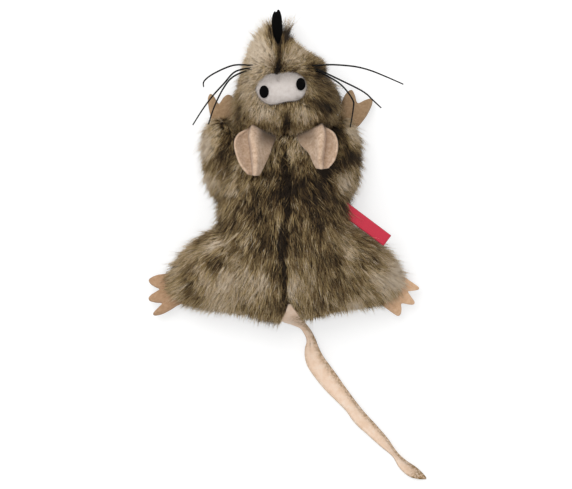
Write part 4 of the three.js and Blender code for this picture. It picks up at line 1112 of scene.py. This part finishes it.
# Whisker points as shares of head width, length and height, from inside the head outwards
whiskers = {"thickness": 1.05 * mm, "sides": 8, "taper": 0.3, "lines": {
    "whisker_left_upper": [(-0.28, 0.627, 0.64), (-0.34, 0.628, 0.7), (-0.525, 0.627, 0.73),
                           (-0.72, 0.555, 0.77), (-0.818, 0.488, 0.82), (-0.824, 0.435, 0.85)],
    "whisker_left_middle": [(-0.28, 0.61, 0.64), (-0.35, 0.606, 0.7), (-0.508, 0.57, 0.72),
                            (-0.621, 0.465, 0.76), (-0.734, 0.355, 0.82), (-0.834, 0.237, 0.88),
                            (-0.933, 0.1, 0.92)],
    "whisker_left_lower": [(-0.28, 0.6, 0.63), (-0.35, 0.592, 0.69), (-0.522, 0.53, 0.69),
                           (-0.621, 0.43, 0.74), (-0.713, 0.269, 0.82), (-0.774, 0.109, 0.92)],
    "whisker_right_upper": [(0.24, 0.62, 0.68), (0.3, 0.623, 0.77), (0.47, 0.632, 0.78), (0.695, 0.617, 0.8),
                            (0.856, 0.583, 0.84), (1.017, 0.527, 0.88), (1.198, 0.458, 0.9)],
    "whisker_right_middle": [(0.27, 0.59, 0.7), (0.345, 0.584, 0.76), (0.574, 0.492, 0.77),
                             (0.791, 0.395, 0.82), (0.896, 0.314, 0.86), (0.973, 0.251, 0.9)],
    "whisker_right_lower": [(0.27, 0.58, 0.69), (0.345, 0.57, 0.74), (0.556, 0.465, 0.74),
                            (0.683, 0.328, 0.8), (0.691, 0.244, 0.84), (0.659, 0.08, 0.92)]}}


def tubeAlong(line, radius, sides):
    # Rings about a line: centre + radius * (cos(a) * side + sin(a) * rise), with rise = way x side
    way = unit(np.gradient(line, axis=0))
    side = unit(np.cross(way, [0.1, 0.2, 1]))
    a = np.linspace(0, 2 * math.pi, sides, endpoint=False)[:, None]
    ring = np.cos(a) * side[:, None] + np.sin(a) * np.cross(way, side)[:, None]
    return line[:, None] + radius[:, None, None] * ring


thread = threadMaterial()
for name, shares in whiskers["lines"].items():
    line = smoothRows([[*headPlace(x, y), level * headSize["height"]] for x, y, level in shares], 12)
    toTip = np.linspace(0, 1, len(line))
    radius = whiskers["thickness"] / 2 * (1 - whiskers["taper"] * toTip ** 3)
    piece = closedTube(f"{name}_thread", tubeAlong(line, radius, whiskers["sides"]), thread)
    settle(piece, "whisker_thread", "head", name)
print("whiskers made")

# Studio: a white floor that keeps the shadow, an even white surround and a large soft lamp over the nose
studio = {"floor": "#bdbdbd", "lift": 0.61, "reach": 4.0, "surround": 0.66,
          "lamp": {"power": 10, "size": 1.0, "place": (-0.5, 0.7, 1.3)},
          "camera": {"level": 0.02, "lens": 400, "scale": 0.6 * mm, "middle": (-0.06 * mm, 0.77 * mm),
                     "pixels": 572}}
white = (1, 1, 1, 1)


def whiteToCamera(tree, strength):
    # Strength for camera and mirror rays only: the larger of the two ray flags times the strength
    path = addNode(tree, "ShaderNodeLightPath").outputs
    either = calculated(tree, "MAXIMUM", path["Is Camera Ray"], path["Is Glossy Ray"])
    return calculated(tree, "MULTIPLY", either, strength)


floorMaterial, tree = newMaterial("studio_paper")
shader = addNode(tree, "ShaderNodeBsdfPrincipled", {"Emission Strength": whiteToCamera(tree, studio["lift"])},
                 Base_Color=linear(studio["floor"]), Roughness=0.9, Specular_IOR_Level=0.1,
                 Emission_Color=white)
addNode(tree, "ShaderNodeOutputMaterial", {"Surface": shader.outputs["BSDF"]})
corners = [(x * studio["reach"], y * studio["reach"], 0) for x, y in ((-1, -1), (1, -1), (1, 1), (-1, 1))]
floor = buildMesh("studio_floor", corners, [4], [0, 1, 2, 3], floorMaterial)

world = bpy.data.worlds.new("surround")
world.use_nodes = True
tree = world.node_tree
tree.nodes.clear()
around = addNode(tree, "ShaderNodeBackground", Strength=studio["surround"], Color=white)
seen = addNode(tree, "ShaderNodeBackground", Strength=1.0, Color=white)
choice = addNode(tree, "ShaderNodeMixShader", {0: whiteToCamera(tree, 1.0), 1: around.outputs[0],
                                               2: seen.outputs[0]})
addNode(tree, "ShaderNodeOutputWorld", {"Surface": choice.outputs[0]})
bpy.context.scene.world = world

lamp = bpy.data.lights.new("softbox", "AREA")
lamp.shape, lamp.size, lamp.energy = "SQUARE", studio["lamp"]["size"], studio["lamp"]["power"]
softbox = bpy.data.objects.new("softbox", lamp)
softbox.location = studio["lamp"]["place"]
softbox.rotation_euler = (-softbox.location).to_track_quat("-Z", "Y").to_euler()
bpy.context.scene.collection.objects.link(softbox)

# Straight down, so far off that one pixel of the picture is the scale's size at the camera's level
camera = bpy.data.cameras.new("overhead")
view = studio["camera"]
camera.lens = view["lens"]
away = view["pixels"] * view["scale"] * camera.lens / camera.sensor_width
overhead = bpy.data.objects.new("overhead", camera)
overhead.location = (*view["middle"], view["level"] + away)
bpy.context.scene.collection.objects.link(overhead)
bpy.context.scene.camera = overhead
bpy.context.scene.view_settings.view_transform = "Standard"
print("studio set")
